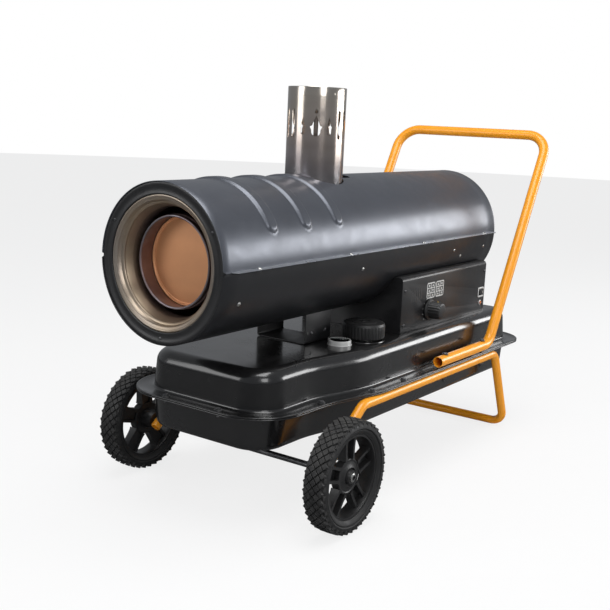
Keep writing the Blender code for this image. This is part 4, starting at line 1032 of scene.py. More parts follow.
class Coat(Enum):
    """Every finish on the heater."""

    GUNMETAL = Finish("gunmetal_satin_paint", "gunmetal_paint", (0.088, 0.095, 0.113), 0.36, 0.62, 0.16, 0.22,
                      spread=0.05, mottle=0.10, mottle_scale=5.0, grain_scale=850.0, grain_depth=0.00003,
                      dust=0.035, flake=0.020)
    # Painted shade: a darker copy of the gunmetal paint, for the lower shell and the lower seam lips, standing
    # in for the shade under the barrel.
    PAINTED_SHADE_GUNMETAL = Finish("gunmetal_painted_shade", "gunmetal_paint", (0.016, 0.0165, 0.019), 0.34, 0.30,
                            0.10,
                            0.22, spread=0.05, mottle=0.10, mottle_scale=5.0, grain_scale=850.0,
                            grain_depth=0.00003, dust=0.03, flake=0.010)
    # Painted highlight: a lighter copy of the gunmetal paint, for the upper seam lips and the seam crease,
    # standing in for the bright line that light draws along the seam.
    PAINTED_HIGHLIGHT_LIP = Finish("seam_lip_paint", "gunmetal_paint", (0.34, 0.355, 0.39), 0.30, 0.70, 0.10, 0.22,
                       mottle=0.12, mottle_scale=40.0, grain_scale=850.0, grain_depth=0.00003)
    GLOSS_BLACK = Finish("tank_black_gloss", "black_paint", (0.0065, 0.0065, 0.0070), 0.24, 0.0, 0.55, 0.10,
                         spread=0.05, mottle=0.15, grain_scale=420.0, grain_depth=0.00004, swell=0.8,
                         dust=0.030)
    SATIN_BLACK = Finish("casing_black_satin", "black_paint", (0.011, 0.011, 0.012), 0.40, 0.0, 0.10, 0.30,
                         mottle=0.12, grain_scale=900.0, grain_depth=0.00005, dust=0.03)
    ORANGE = Finish("orange_powder", "orange_powder_coat", (0.90, 0.345, 0.010), 0.33, 0.0, 0.25, 0.16,
                    mottle=0.05, grain_scale=520.0, grain_depth=0.00007, swell=0.5, dust=0.015, wear=0.10,
                    bare=(0.55, 0.40, 0.25))
    ZINC = Finish("bright_zinc", "zinc_plated_steel", (0.62, 0.62, 0.60), 0.26, 1.0, mottle=0.12,
                  mottle_scale=60.0, grain_scale=900.0, grain_depth=0.00003)
    DARK_STEEL = Finish("blackened_fastener", "zinc_plated_steel", (0.10, 0.10, 0.105), 0.36, 0.85,
                        mottle=0.15,
                        mottle_scale=80.0, grain_scale=900.0, grain_depth=0.00003, wear=0.5,
                        bare=(0.5, 0.5, 0.5))
    STAINLESS = SheetFinish("flue_stainless", "stainless_steel", (0.52, 0.50, 0.48), 0.17, 1.0, spread=0.04,
                            mottle=0.07, mottle_scale=9.0, stretch=(26.0, 26.0, 700.0), line_depth=0.000010,
                            line_shade=0.10, tint=0.30, tint_axis=Axis.Z, tint_from=0.84, tint_to=0.60)
    CONE_STEEL = SheetFinish("outlet_stainless", "stainless_steel", (0.215, 0.165, 0.132), 0.36, 0.80,
                             spread=0.05,
                             mottle=0.08, mottle_scale=12.0, stretch=(60.0, 900.0, 60.0), line_depth=0.000012,
                             line_shade=0.16, tint=0.35, tint_axis=Axis.Y, tint_from=-0.60, tint_to=-0.52)
    ALUMINISED = SheetFinish("aluminised_sheet", "aluminised_steel", (0.20, 0.175, 0.155), 0.42, 0.9,
                             spread=0.08,
                             mottle=0.16, mottle_scale=30.0, stretch=(400.0, 20.0, 400.0), line_depth=0.00002,
                             tint=0.45, tint_axis=Axis.Y, tint_from=-0.40, tint_to=-0.58)
    HOT_STEEL = SheetFinish("heat_stained_steel", "heat_tinted_steel", (0.74, 0.35, 0.165), 0.42, 0.35,
                            spread=0.06, mottle=0.09, mottle_scale=7.0, stretch=(16.0, 900.0, 300.0),
                            line_depth=0.00001, line_shade=0.08)
    CAST = Finish("cast_aluminium_skin", "cast_aluminium", (0.36, 0.36, 0.37), 0.46, 0.9, mottle=0.15,
                  mottle_scale=50.0, grain_scale=500.0, grain_depth=0.00012)
    MOULDED = Finish("moulded_black", "black_plastic", (0.0125, 0.0125, 0.013), 0.43, mottle=0.10,
                     grain_scale=1100.0, grain_depth=0.00008, dust=0.03, wear=0.12, bare=(0.06, 0.06, 0.06))
    FAN_PLASTIC = Finish("fan_grey", "black_plastic", (0.045, 0.046, 0.050), 0.45, mottle=0.12,
                         grain_scale=800.0,
                         grain_depth=0.00006, dust=0.25)
    RUBBER = Finish("tyre_rubber", "black_rubber", (0.0095, 0.0095, 0.0100), 0.62, mottle=0.22,
                    mottle_scale=40.0,
                    spread=0.10, grain_scale=650.0, grain_depth=0.00014, dust=0.10, wear=0.35,
                    bare=(0.07, 0.068, 0.065))
    HOSE = Finish("hose_rubber_skin", "hose_rubber", (0.014, 0.014, 0.015), 0.55, mottle=0.15,
                  grain_scale=700.0,
                  grain_depth=0.00008)
    BRASS = Finish("turned_brass", "brass", (0.62, 0.42, 0.17), 0.28, 1.0, mottle=0.12, mottle_scale=70.0,
                   grain_scale=900.0, grain_depth=0.00003)
    CERAMIC = Finish("glazed_ceramic", "white_ceramic", (0.74, 0.72, 0.67), 0.22, mottle=0.05, coat=0.5,
                     grain_scale=500.0, grain_depth=0.00003)
    CLEAR = ClearFinish("clear_cover", "clear_plastic", (0.90, 0.92, 0.93), 0.06, spread=0.02, mottle=0.02)
    FOAM = Finish("float_cork", "float_foam", (0.16, 0.15, 0.14), 0.85, mottle=0.3, mottle_scale=160.0,
                  grain_scale=400.0, grain_depth=0.0004)
    RED = Finish("pointer_enamel", "pointer_red", (0.55, 0.02, 0.015), 0.35, mottle=0.05)
    AMBER = ClearFinish("amber_lamp", "amber_lens", (0.85, 0.22, 0.02), 0.12, spread=0.03, mottle=0.05,
                        through=0.45)
    GREEN = Finish("green_board", "green_plastic", (0.02, 0.16, 0.06), 0.30, mottle=0.15, mottle_scale=120.0)
    COPPER = Finish("wound_copper", "copper_winding", (0.50, 0.22, 0.12), 0.35, 0.9, mottle=0.2,
                    mottle_scale=90.0)
    LABEL = Finish("printed_label", "", (0.62, 0.62, 0.60), 0.42, mottle=0.04, grain_depth=0.00001)
    # Dark ink for real print (gauge scale, label boxes, warning edge), also used as painted shade for the
    # panel's louvre slots.
    INK_AND_PAINTED_SHADE = Finish("label_ink", "", (0.03, 0.03, 0.03), 0.45, mottle=0.05, grain_depth=0.00001)
    YELLOW = Finish("warning_yellow", "", (0.85, 0.52, 0.02), 0.40, mottle=0.04, grain_depth=0.00001)
    GAUGE_FACE = Finish("gauge_satin_silver", "", (0.60, 0.60, 0.59), 0.38, 0.25, mottle=0.08,
                        mottle_scale=60.0)


# ====================================================================== building
@dataclass
class SubAssembly:
    """A group of pieces that are built together."""

    made: list[bpy.types.Object] = field(default_factory=list)
    body: str = "heater"

    def fit(self, obj: bpy.types.Object, coat: Coat, *nodes: str,
            body: Optional[str] = None) -> bpy.types.Object:
        """Gives a piece its finish and its body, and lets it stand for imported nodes.

        Args:
            obj: the piece, in place.
            coat: its finish.
            *nodes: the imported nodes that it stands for.
            body: the body it moves with, if not the sub-assembly's own.

        Returns:
            The same piece.
        """
        obj.data.materials.clear()
        obj.data.materials.append(coat.value.material())
        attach(obj, body or self.body)
        if nodes:
            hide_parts(*nodes)
        self.made.append(obj)
        return obj

    def dress(self, coat: Coat, *nodes: str) -> None:
        """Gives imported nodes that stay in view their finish.

        Args:
            coat: the finish.
            *nodes: the nodes.
        """
        for node in nodes:
            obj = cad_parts[node]
            obj.data.materials.clear()
            obj.data.materials.append(coat.value.material())
            self.made.append(obj)

    def build(self) -> None:
        """Builds the sub-assembly's pieces."""
        raise NotImplementedError

    def screw(self, name: str, place: Point, direction: Point, radius: float = 0.0042, height: float = 0.0024,
              drive: Drive = Drive.CROSS, coat: Coat = Coat.DARK_STEEL, spin: float = 20.0,
              body: Optional[str] = None, washer: float = 0.0) -> bpy.types.Object:
        """A screw head with its drive cut in, standing on a face.

        Args:
            name: the piece's name.
            place: where the head's underside meets the face.
            direction: the way the head points.
            radius: the head's radius.
            height: its height.
            drive: what it is turned with.
            coat: its finish.
            spin: turn of the drive in degrees.
            body: the body it moves with, if not the sub-assembly's own.
            washer: radius of a washer under it, or 0.

        Returns:
            The head.
        """
        if drive is Drive.HEX:
            outline = [(radius * 1.1 * cos(tau * i / 6), radius * 1.1 * sin(tau * i / 6)) for i in range(6)]
            head = Forge.prism(name, outline, 0.0, height, round_edge=0.12 * radius)
        else:
            dome = [(0.0, -0.0008), (0.96 * radius, -0.0008), (radius, 0.0), (radius, 0.25 * height)]
            dome += [(radius * cos(radians(t)), height * (0.25 + 0.75 * sin(radians(t)))) for t in (20, 40,
                                                                                                    58, 74)]
            dome.append((0.0, height))
            head = Forge.turned(name, dome, sides=28)
            arms = (0.0, 90.0) if drive is Drive.CROSS else (0.0,)
            for i, turn in enumerate(arms):
                reach, half = (0.55 * radius, 0.13 * radius) if drive is Drive.CROSS else (1.1 * radius,
                                                                                           0.12 * radius)
                bar = Forge.prism(f"{name}_arm_{i}", rounded_box((-reach, -half), (reach, half), 0.4 * half,
                                                                 2),
                                  0.45 * height, 2 * height)
                bar.data.transform(Matrix.Rotation(radians(turn), 4, "Z"))
                Forge.cut(head, bar)
        if washer:
            disc = Forge.rod(f"{name}_washer", washer, -0.0004, 0.0008, sides=32)
            head = Forge.joined(name, head, disc)
            head.name = name
        Forge.aimed(head, place, direction, spin)
        return self.fit(head, coat, body=body)


# ====================================================================== barrel
@dataclass
class Barrel(SubAssembly):
    """The round casing: ribbed upper shell, plain lower shell, bolted seam lips and their screws."""

    radius: float = 0.144
    sheet: float = 0.0012
    seam_gap: float = 0.0003
    lip: float = 0.0108
    lip_setback: float = 0.030
    lip_chamfer: float = 0.008
    notch: float = 0.009
    rib_first: float = 0.150
    rib_pitch: float = 0.105
    rib_count: int = 3
    rib_width: float = 0.034
    rib_flank: float = 0.0075
    rib_height: float = 0.0044
    rib_end: float = 23.0
    round_steps: int = 120
    flue_hole: float = 0.0625
    slot_behind: float = 0.030
    slot_half: float = 0.036

    def __post_init__(self) -> None:
        """Reads the barrel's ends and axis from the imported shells."""
        upper = Span.of("upper_shell")
        lower = Span.of("lower_shell")
        self.front = upper.low.y
        self.rear = upper.high.y
        self.axis_z = (upper.low.z + lower.high.z) / 2
        pipe = Span.of("flue_pipe")
        self.flue_y = pipe.centre.y
        self.flue_radius = pipe.size.x / 2

    def rib_lift(self, y: float, turn: float) -> float:
        """How far the pressed ribs stand out.

        Args:
            y: place along the barrel.
            turn: angle from the right-hand seam, in degrees, 0 to 180.

        Returns:
            The height of the skin over the plain barrel.
        """
        half = self.rib_width / 2
        short = self.radius * radians(self.rib_end - min(turn, 180.0 - turn)) + half
        lift = 0.0
        for i in range(self.rib_count):
            off = y - (self.front + self.rib_first + i * self.rib_pitch)
            lift = max(lift, ease((half - hypot(off, max(0.0, short))) / self.rib_flank))
        return self.rib_height * lift

    def section(self, y: float, upper: bool, hem: float = 0.0) -> list[Point]:
        """One closed section of a shell.

        Args:
            y: place along the barrel.
            upper: the upper or the lower shell.
            hem: draws both skins in by this much, for a rounded rim.

        Returns:
            The section's points, outer skin then inner skin.
        """
        points = []
        half_gap = self.seam_gap / 2
        for radius, order in ((self.radius - hem, range(self.round_steps + 1)),
                              (self.radius - self.sheet + hem, range(self.round_steps, -1, -1))):
            first = asin(half_gap / radius)
            for i in order:
                angle = first + (pi - 2 * first) * i / self.round_steps
                lift = self.rib_lift(y, 180.0 * i / self.round_steps) if upper else 0.0
                reach = radius + lift
                height = max(reach * sin(angle), half_gap)
                points.append((reach * cos(angle), y, self.axis_z + (height if upper else -height)))
        return points

    def stations(self) -> list[float]:
        """Places along the barrel where a section is drawn, closer together over the ribs."""
        places = {self.front + 0.0005, self.rear - 0.0005}
        ribs = self.front + self.rib_first - self.rib_width
        last = self.front + self.rib_first + (self.rib_count - 1) * self.rib_pitch + self.rib_width
        steps = int((last - ribs) / 0.0017)
        places |= {ribs + (last - ribs) * i / steps for i in range(steps + 1)}
        places |= {last + (self.rear - last) * i / 14 for i in range(1, 14)}
        places |= {self.front + (ribs - self.front) * i / 6 for i in range(1, 6)}
        return sorted(places)

    def opening(self) -> bpy.types.Object:
        """The cutter for the hole round the flue, with an oblong slot behind it."""
        low, high = self.axis_z, self.axis_z + self.radius + 0.03
        corner = 0.011
        far = self.flue_y + self.flue_radius + self.slot_behind
        meet = degrees(asin(self.slot_half / self.flue_hole))
        outline = arc((0.0, self.flue_y), self.flue_hole, 90 + meet, 450 - meet, 72)
        outline += arc((self.slot_half - corner, far - corner), corner, 0, 90, 8)
        outline += arc((-self.slot_half + corner, far - corner), corner, 90, 180, 8)
        return Forge.prism("opening", outline, low, high)

    def notch_cutter(self) -> bpy.types.Object:
        """The cutter for the small V at the front end of the seam, on both sides."""
        deep = self.notch
        outline = [(self.front - deep, self.axis_z - deep), (self.front + deep, self.axis_z)]
        outline.append((self.front - deep, self.axis_z + deep))
        return Forge.prism("notch", outline, -2 * self.radius, 2 * self.radius, Axis.X)

    def shells(self) -> None:
        """Both shells, with hemmed ends."""
        inner = [self.section(y, True) for y in self.stations()]
        ends = [self.section(y, True, 0.0004) for y in (self.front, self.rear)]
        upper = Forge.lofted("shell_upper", [ends[0], *inner, ends[1]], 42.0)
        Forge.cut(upper, self.opening(), self.notch_cutter(), crisp=42.0)
        self.fit(upper, Coat.GUNMETAL, "upper_shell")
        length = self.rear - self.front
        between = [self.front + length * i / 24 for i in range(1, 24)]
        places = [self.front + 0.0005, *between, self.rear - 0.0005]
        rings = [self.section(self.front, False, 0.0004), *[self.section(y, False) for y in places]]
        rings.append(self.section(self.rear, False, 0.0004))
        lower = Forge.lofted("shell_lower", rings, 42.0)
        line = Span.of("fuel_line")
        wall_z = self.axis_z - sqrt(self.radius**2 - 0.062**2)
        place = (line.low.x + 0.004, Span.of("fuel_pump").centre.y, wall_z)
        hole = Forge.rod("line_hole", 0.006, -0.02, 0.02, centre=place, sides=32)
        Forge.cut(lower, self.notch_cutter(), hole, crisp=42.0)
        # The lower shell takes the darker copy of the gunmetal paint: painted shade.
        self.fit(lower, Coat.PAINTED_SHADE_GUNMETAL, "lower_shell")

    def lips(self) -> None:
        """The out-turned lips along the seam: two thicknesses on each side, chamfered at the ends."""
        inner = self.radius - 0.0006
        outer = self.radius + self.lip
        front = self.front + self.lip_setback
        rear = self.rear - self.lip_chamfer
        for side in Side:
            outline = [(inner, front - self.lip_chamfer), (self.radius, front - self.lip_chamfer)]
            outline += [(outer - 0.002, front - 0.0015), (outer, front + 0.0015),
                        (outer, rear - self.lip_chamfer)]
            outline += [(self.radius, rear), (inner, rear)]
            outline = [(side.value * x, y) for x, y in outline]
            for label, low, high in (("upper", self.seam_gap / 2, self.seam_gap / 2 + self.sheet),
                                     ("lower", -self.seam_gap / 2 - self.sheet, -self.seam_gap / 2)):
                name = f"seam_lip_{label}_{side.label}"
                lip = Forge.prism(name, outline, self.axis_z + low, self.axis_z + high, round_edge=0.0003)
                # Upper lips take the lighter copy of the gunmetal paint (painted highlight), lower lips the
                # darker copy (painted shade).
                self.fit(lip, Coat.PAINTED_HIGHLIGHT_LIP if label == "upper" else Coat.PAINTED_SHADE_GUNMETAL)
            # The crease along the seam takes the lighter copy of the gunmetal paint: a painted highlight.
            crease = [(0.0, -0.0022), (0.0022, 0.0), (0.0, 0.0022)]
            rings = []
            for y in (front - 0.002, rear - 0.004):
                rings.append([(side.value * (self.radius - 0.0004 + u), y, self.axis_z + v) for u,
                              v in crease])
            self.fit(Forge.lofted(f"seam_crease_{side.label}", rings), Coat.PAINTED_HIGHLIGHT_LIP)

    def screws(self) -> None:
        """Screws through the lips, and those that hold the inner parts to the lower shell."""
        top = self.axis_z + self.seam_gap / 2 + self.sheet
        length = self.rear - self.front
        for side in Side:
            x = side.value * (self.radius + 0.0058)
            for i, share in enumerate((0.085, 0.36, 0.64, 0.93)):
                place = (x, self.front + share * length, top)
                self.screw(f"seam_screw_{side.label}_{i}", place, (0, 0, 1), 0.0042, 0.0030, spin=17.0 * i,
                           coat=Coat.ZINC)
                low = (x, self.front + share * length, 2 * self.axis_z - top)
                self.screw(f"seam_nut_{side.label}_{i}", low, (0, 0, -1), 0.0034, 0.0026, Drive.HEX)
            for i, (share, drop) in enumerate(((0.055, 24.0), (0.42, 14.0), (0.80, 12.0), (0.84, 19.0),
                                               (0.95, 13.0))):
                turn = radians(drop)
                out = (side.value * cos(turn), 0.0, -sin(turn))
                place = (out[0] * self.radius, self.front + share * length,
                         self.axis_z + out[2] * self.radius)
                self.screw(f"casing_screw_{side.label}_{i}", place, out, 0.0040, 0.0024, spin=31.0 * i,
                           coat=Coat.ZINC)

    def build(self) -> None:
        """Builds the barrel."""
        self.shells()
        self.lips()
        self.screws()


# ====================================================================== hot-air outlet
@dataclass
class Outlet(SubAssembly):
    """What shows in the barrel's mouth: ring, funnel, drum rim and closing disc."""

    ring_inner: float = 0.1205
    ring_depth: float = 0.020
    cone_back: float = 0.099
    cone_depth: float = 0.031
    cone_tail: float = 0.022
    bead_height: float = 0.0026
    bead_reach: float = 0.085
    drum_wall: float = 0.0015
    bead: float = 0.0022

    def __post_init__(self) -> None:
        """Reads the barrel's front and axis."""
        upper = Span.of("upper_shell")
        self.front = upper.low.y
        drum = Span.of("exchanger_drum")
        self.drum_radius = drum.size.x / 2
        self.drum_front = drum.low.y
        self.drum_rear = drum.high.y
        self.centre = (0.0, 0.0, drum.centre.z)
        self.bore = Span.of("front_ring").size.x / 2
        self.disc = Span.of("front_disc")

    def ring(self) -> None:
        """The black ring that closes the gap at the mouth, with a rolled inner edge and a stiffening step."""
        y = self.front + 0.0022
        fit = self.bore
        roll = 0.0019
        profile = [(self.ring_inner + 0.0003 + roll, y + 0.0046)]
        profile += [(self.ring_inner + 0.0003 + roll + roll * cos(radians(t)),
                     y + 0.0026 + roll * sin(radians(t)))
                    for t in (180, 210, 240, 270, 300)]
        profile += [(self.ring_inner + 0.0062, y + 0.0016), (fit - 0.0080, y + 0.0012),
                    (fit - 0.0062, y + 0.0002)]
        profile += [(fit - 0.0016, y), (fit - 0.0004, y + 0.0004), (fit, y + 0.0016),
                    (fit, y + self.ring_depth)]
        profile += [(fit - 0.001, y + self.ring_depth), (fit - 0.001, y + 0.0042)]
        self.fit(Forge.turned("mouth_ring", profile, Axis.Y, self.centre, 160, 38.0), Coat.SATIN_BLACK,
                 "front_ring")
        for i, turn in enumerate((-90.0, 30.0, 150.0)):
            reach = (self.ring_inner + fit) / 2 + 0.001
            place = (reach * cos(radians(turn)), y + 0.0014, self.centre[2] + reach * sin(radians(turn)))
            self.screw(f"ring_screw_{i}", place, (0, -1, 0), 0.0030, 0.0018, spin=40.0 * i)

    def cone(self) -> None:
        """The stainless funnel, with two rolled beads on its way in."""
        start = self.front + 0.0042
        rim = self.ring_inner - 0.0003
        path: list[Flat] = [(rim, start + 0.0006), (rim - 0.0012, start)]
        beads = (0.22, 0.58)
        steps = 60
        for i in range(steps + 1):
            share = i / steps
            radius = rim - 0.0022 - (rim - 0.0022 - self.cone_back) * share
            along = start + self.cone_depth * (0.16 * share + 0.84 * share**1.7)
            for place in beads:
                off = abs(share - place) / self.bead_reach
                if off < 1.0:
                    radius -= self.bead_height * (1 - off**2) ** 0.5
            path.append((radius, along))
        path.append((self.cone_back, start + self.cone_depth + self.cone_tail))
        back = [(radius + 0.0008, along + 0.0006) for radius, along in reversed(path[2:])]
        back.append((rim, start + 0.006))
        cone = Forge.turned("outlet_funnel", path + back, Axis.Y, self.centre, 160, 32.0)
        self.fit(cone, Coat.CONE_STEEL, "outlet_cone")

    def drum(self) -> None:
        """The exchanger drum, with a bright rolled rim, and the port for the flue."""
        wall = self.drum_wall
        bore = self.drum_radius - wall
        y = self.drum_front
        roll = self.bead
        rim = [(bore, y + 3 * roll), (bore - 0.0002, y + 2 * roll)]
        rim += [(self.drum_radius - roll * 0.9 + roll * cos(radians(t)), y + roll + roll * sin(radians(t)))
                for t in range(180, 361, 20)]
        rim += [(self.drum_radius, y + 2 * roll), (self.drum_radius, y + 0.010)]
        rim += [(self.drum_radius + 0.0014, y + 0.0115), (self.drum_radius + 0.0014, y + 0.0145)]
        rim += [(self.drum_radius, y + 0.016), (self.drum_radius, self.drum_rear - 0.003)]
        rim += [(self.drum_radius - 0.003, self.drum_rear), (0.0405, self.drum_rear)]
        rim += [(0.0405, self.drum_rear - wall), (bore, self.drum_rear - wall)]
        drum = Forge.turned("drum_body", rim, Axis.Y, self.centre, 144, 32.0)
        flue = Span.of("flue_pipe")
        port = Forge.rod("port", 0.056, 0.0, 0.15, centre=(0.0, flue.centre.y, self.centre[2]), sides=96)
        Forge.cut(drum, port, crisp=32.0)
        self.fit(drum, Coat.ALUMINISED, "exchanger_drum")

    def closing_disc(self) -> None:
        """The heat-stained disc, slightly crowned, with a rolled flange."""
        low, high = self.disc.low.y, self.disc.high.y
        rim = self.disc.size.x / 2
        face = low + 0.0042
        profile: list[Flat] = [(0.0, face - 0.0016)]
        for share in (0.12, 0.25, 0.4, 0.55, 0.7, 0.82, 0.9):
            profile.append((rim * share, face - 0.0016 * (1 - share**2)))
        profile += [(rim - 0.0052, face), (rim - 0.0042, face - 0.0005), (rim - 0.0034, face - 0.0030)]
        profile += [(rim - 0.0022, low + 0.0001), (rim - 0.0008, low), (rim - 0.0001, low + 0.0012)]
        profile += [(rim - 0.0001, high), (0.0, high)]
        disc = Forge.turned("closing_disc", profile, Axis.Y, self.centre, 144, 32.0)
        self.fit(disc, Coat.HOT_STEEL, "front_disc")

    def build(self) -> None:
        """Builds the outlet."""
        self.ring()
        self.cone()
        self.drum()
        self.closing_disc()
        self.dress(Coat.ALUMINISED, "air_liner")
        self.dress(Coat.HOT_STEEL, "combustion_chamber")


# ====================================================================== flue
@dataclass
class Flue(SubAssembly):
    """The stainless flue pipe with its flame-shaped vents, and the collar under it."""

    wall: float = 0.0010
    flame_height: float = 0.045
    flame_width: float = 0.023
    below_top: float = 0.074
    groups: int = 3
    facing: float = -55.0
    small_angle: float = 26.0
    slot_angle: float = 51.0
    slot_height: float = 0.058
    slot_width: float = 0.009
    sides: int = 128

    def __post_init__(self) -> None:
        """Reads the pipe's place."""
        self.span = Span.of("flue_pipe")
        self.radius = self.span.size.x / 2
        self.y = self.span.centre.y
        self.middle = self.span.high.z - self.below_top

    @staticmethod
    def flame(width: float, height: float) -> list[Flat]:
        """A flame with a round foot, swelling shoulders that curl out, and a drawn-out point.

        Args:
            width: across the shoulders.
            height: foot to point.

        Returns:
            The outline.
        """
        foot = -0.5 * height
        right = arc((0.0, foot + 0.40 * width), 0.40 * width, -90, 10, 10)
        for share, reach in ((0.30, 0.41), (0.38, 0.47), (0.44, 0.53), (0.475, 0.50), (0.49, 0.42),
                             (0.51, 0.36),
                             (0.56, 0.31), (0.63, 0.27), (0.72, 0.21), (0.82, 0.13), (0.92, 0.06)):
            right.append((reach * width, foot + share * height))
        right.append((0.0, 0.5 * height))
        return right + [(-u, v) for u, v in reversed(right[1:-1])]

    @staticmethod
    def drop(width: float, height: float) -> list[Flat]:
        """A small teardrop, point up.

        Args:
            width: its width.
            height: its height.

        Returns:
            The outline.
        """
        right = arc((0.0, -0.5 * height + 0.5 * width), 0.5 * width, -90, 20, 8)
        right += [(0.30 * width, 0.12 * height), (0.12 * width, 0.32 * height), (0.0, 0.5 * height)]
        return right + [(-u, v) for u, v in reversed(right[1:-1])]

    @staticmethod
    def slot(width: float, height: float) -> list[Flat]:
        """An upright slot with round ends.

        Args:
            width: its width.
            height: its height.

        Returns:
            The outline.
        """
        end = height / 2 - width / 2
        return arc((0.0, -end), width / 2, 180, 360, 10) + arc((0.0, end), width / 2, 0, 180, 10)

    def cutter(self, name: str, outline: Sequence[Flat], angle: float, z: float) -> bpy.types.Object:
        """A cutter that goes out from the pipe's axis in one direction.

        Args:
            name: its name.
            outline: its section, as across and up.
            angle: its direction in degrees from +X.
            z: height of the outline's middle.

        Returns:
            The cutter.
        """
        turn = radians(angle)
        out, across = Vector((cos(turn), sin(turn), 0.0)), Vector((-sin(turn), cos(turn), 0.0))
        base = Vector((0.0, self.y, z))
        rings = []
        for reach in (0.8 * self.radius, 1.2 * self.radius):
            rings.append([base + out * reach + across * u + Vector((0.0, 0.0, v)) for u, v in outline])
        return Forge.lofted(name, rings)

    def pipe(self) -> None:
        """The pipe: rolled sheet with a hemmed top, a lapped seam, vents and two rivet holes."""
        low, high = self.span.low.z, self.span.high.z
        bore = self.radius - self.wall
        profile = [(bore, low), (self.radius, low)]
        steps = 12
        profile += [(self.radius, low + (high - 0.001 - low) * i / steps) for i in range(1, steps + 1)]
        profile += [(self.radius - 0.0003, high - 0.0003), (self.radius - 0.0005, high),
                    (bore + 0.0003, high)]
        profile += [(bore, high - 0.0004)]
        profile += [(bore, high - 0.001 - (high - 0.001 - low) * i / steps) for i in range(1, steps)]
        pipe = Forge.turned("flue_tube", profile, Axis.Z, (0.0, self.y, 0.0), self.sides, 40.0)
        cutters = []
        flame = self.flame(self.flame_width, self.flame_height * 0.90)
        small = self.flame(0.56 * self.flame_width, 0.80 * self.flame_height)
        shapes = [("flame", flame, 0.0, -0.003), ("drop", self.drop(0.0068, 0.0105), 0.0, 0.0262)]
        shapes += [("left", small, -self.small_angle, -0.003), ("right", small, self.small_angle, -0.003)]
        shapes += [("left_slot", self.slot(self.slot_width, self.slot_height), -self.slot_angle, 0.0)]
        shapes += [("right_slot", self.slot(self.slot_width, self.slot_height), self.slot_angle, 0.0)]
        for group in range(self.groups):
            for label, outline, offset, rise in shapes:
                angle = self.facing + 360.0 * group / self.groups + offset
                cutters.append(self.cutter(f"{label}_{group}", outline, angle, self.middle + rise))
        for i, angle in enumerate((-18.0, 162.0)):
            rivet = arc((0.0, 0.0), 0.0022, 0, 342, 19)
            cutters.append(self.cutter(f"rivet_{i}", rivet, angle, high - 0.013))
        Forge.cut(pipe, *cutters, crisp=40.0)
        self.fit(pipe, Coat.STAINLESS, "flue_pipe")
        seam = 74.0
        rings = []
        for z in (low + 0.002, high - 0.002):
            ring = []
            for turn, lift in ((0.0, 0.0), (0.6, 0.0008), (9.0, 0.0008), (9.6, 0.0)):
                angle = radians(seam + turn)
                reach = self.radius - 0.0001 + lift
                ring.append((reach * cos(angle), self.y + reach * sin(angle), z))
            rings.append(ring)
        self.fit(Forge.lofted("flue_lap", rings, 60.0), Coat.STAINLESS)

    def collar(self) -> None:
        """The stub that carries the pipe on the drum, with a rolled top."""
        span = Span.of("flue_collar")
        outer = self.radius - self.wall - 0.0006
        drum = Span.of("exchanger_drum").size.x / 2
        axis_z = Span.of("exchanger_drum").centre.z
        profile = [(outer - 0.0015, axis_z + 0.02), (outer, axis_z + 0.02), (outer, span.high.z - 0.001)]
        profile += [(outer - 0.0006, span.high.z), (outer - 0.0015, span.high.z - 0.0004)]
        stub = Forge.turned("flue_stub", profile, Axis.Z, (0.0, self.y, 0.0), 96)
        round_cut = [(0.0, -0.1), (drum + 0.0005, -0.1), (drum + 0.0005, 0.1), (0.0, 0.1)]
        Forge.cut(stub, Forge.turned("drum_cut", round_cut, Axis.Y, (0.0, self.y, axis_z), 128))
        self.fit(stub, Coat.ALUMINISED, "flue_collar")

    def build(self) -> None:
        """Builds the flue."""
        self.pipe()
        self.collar()


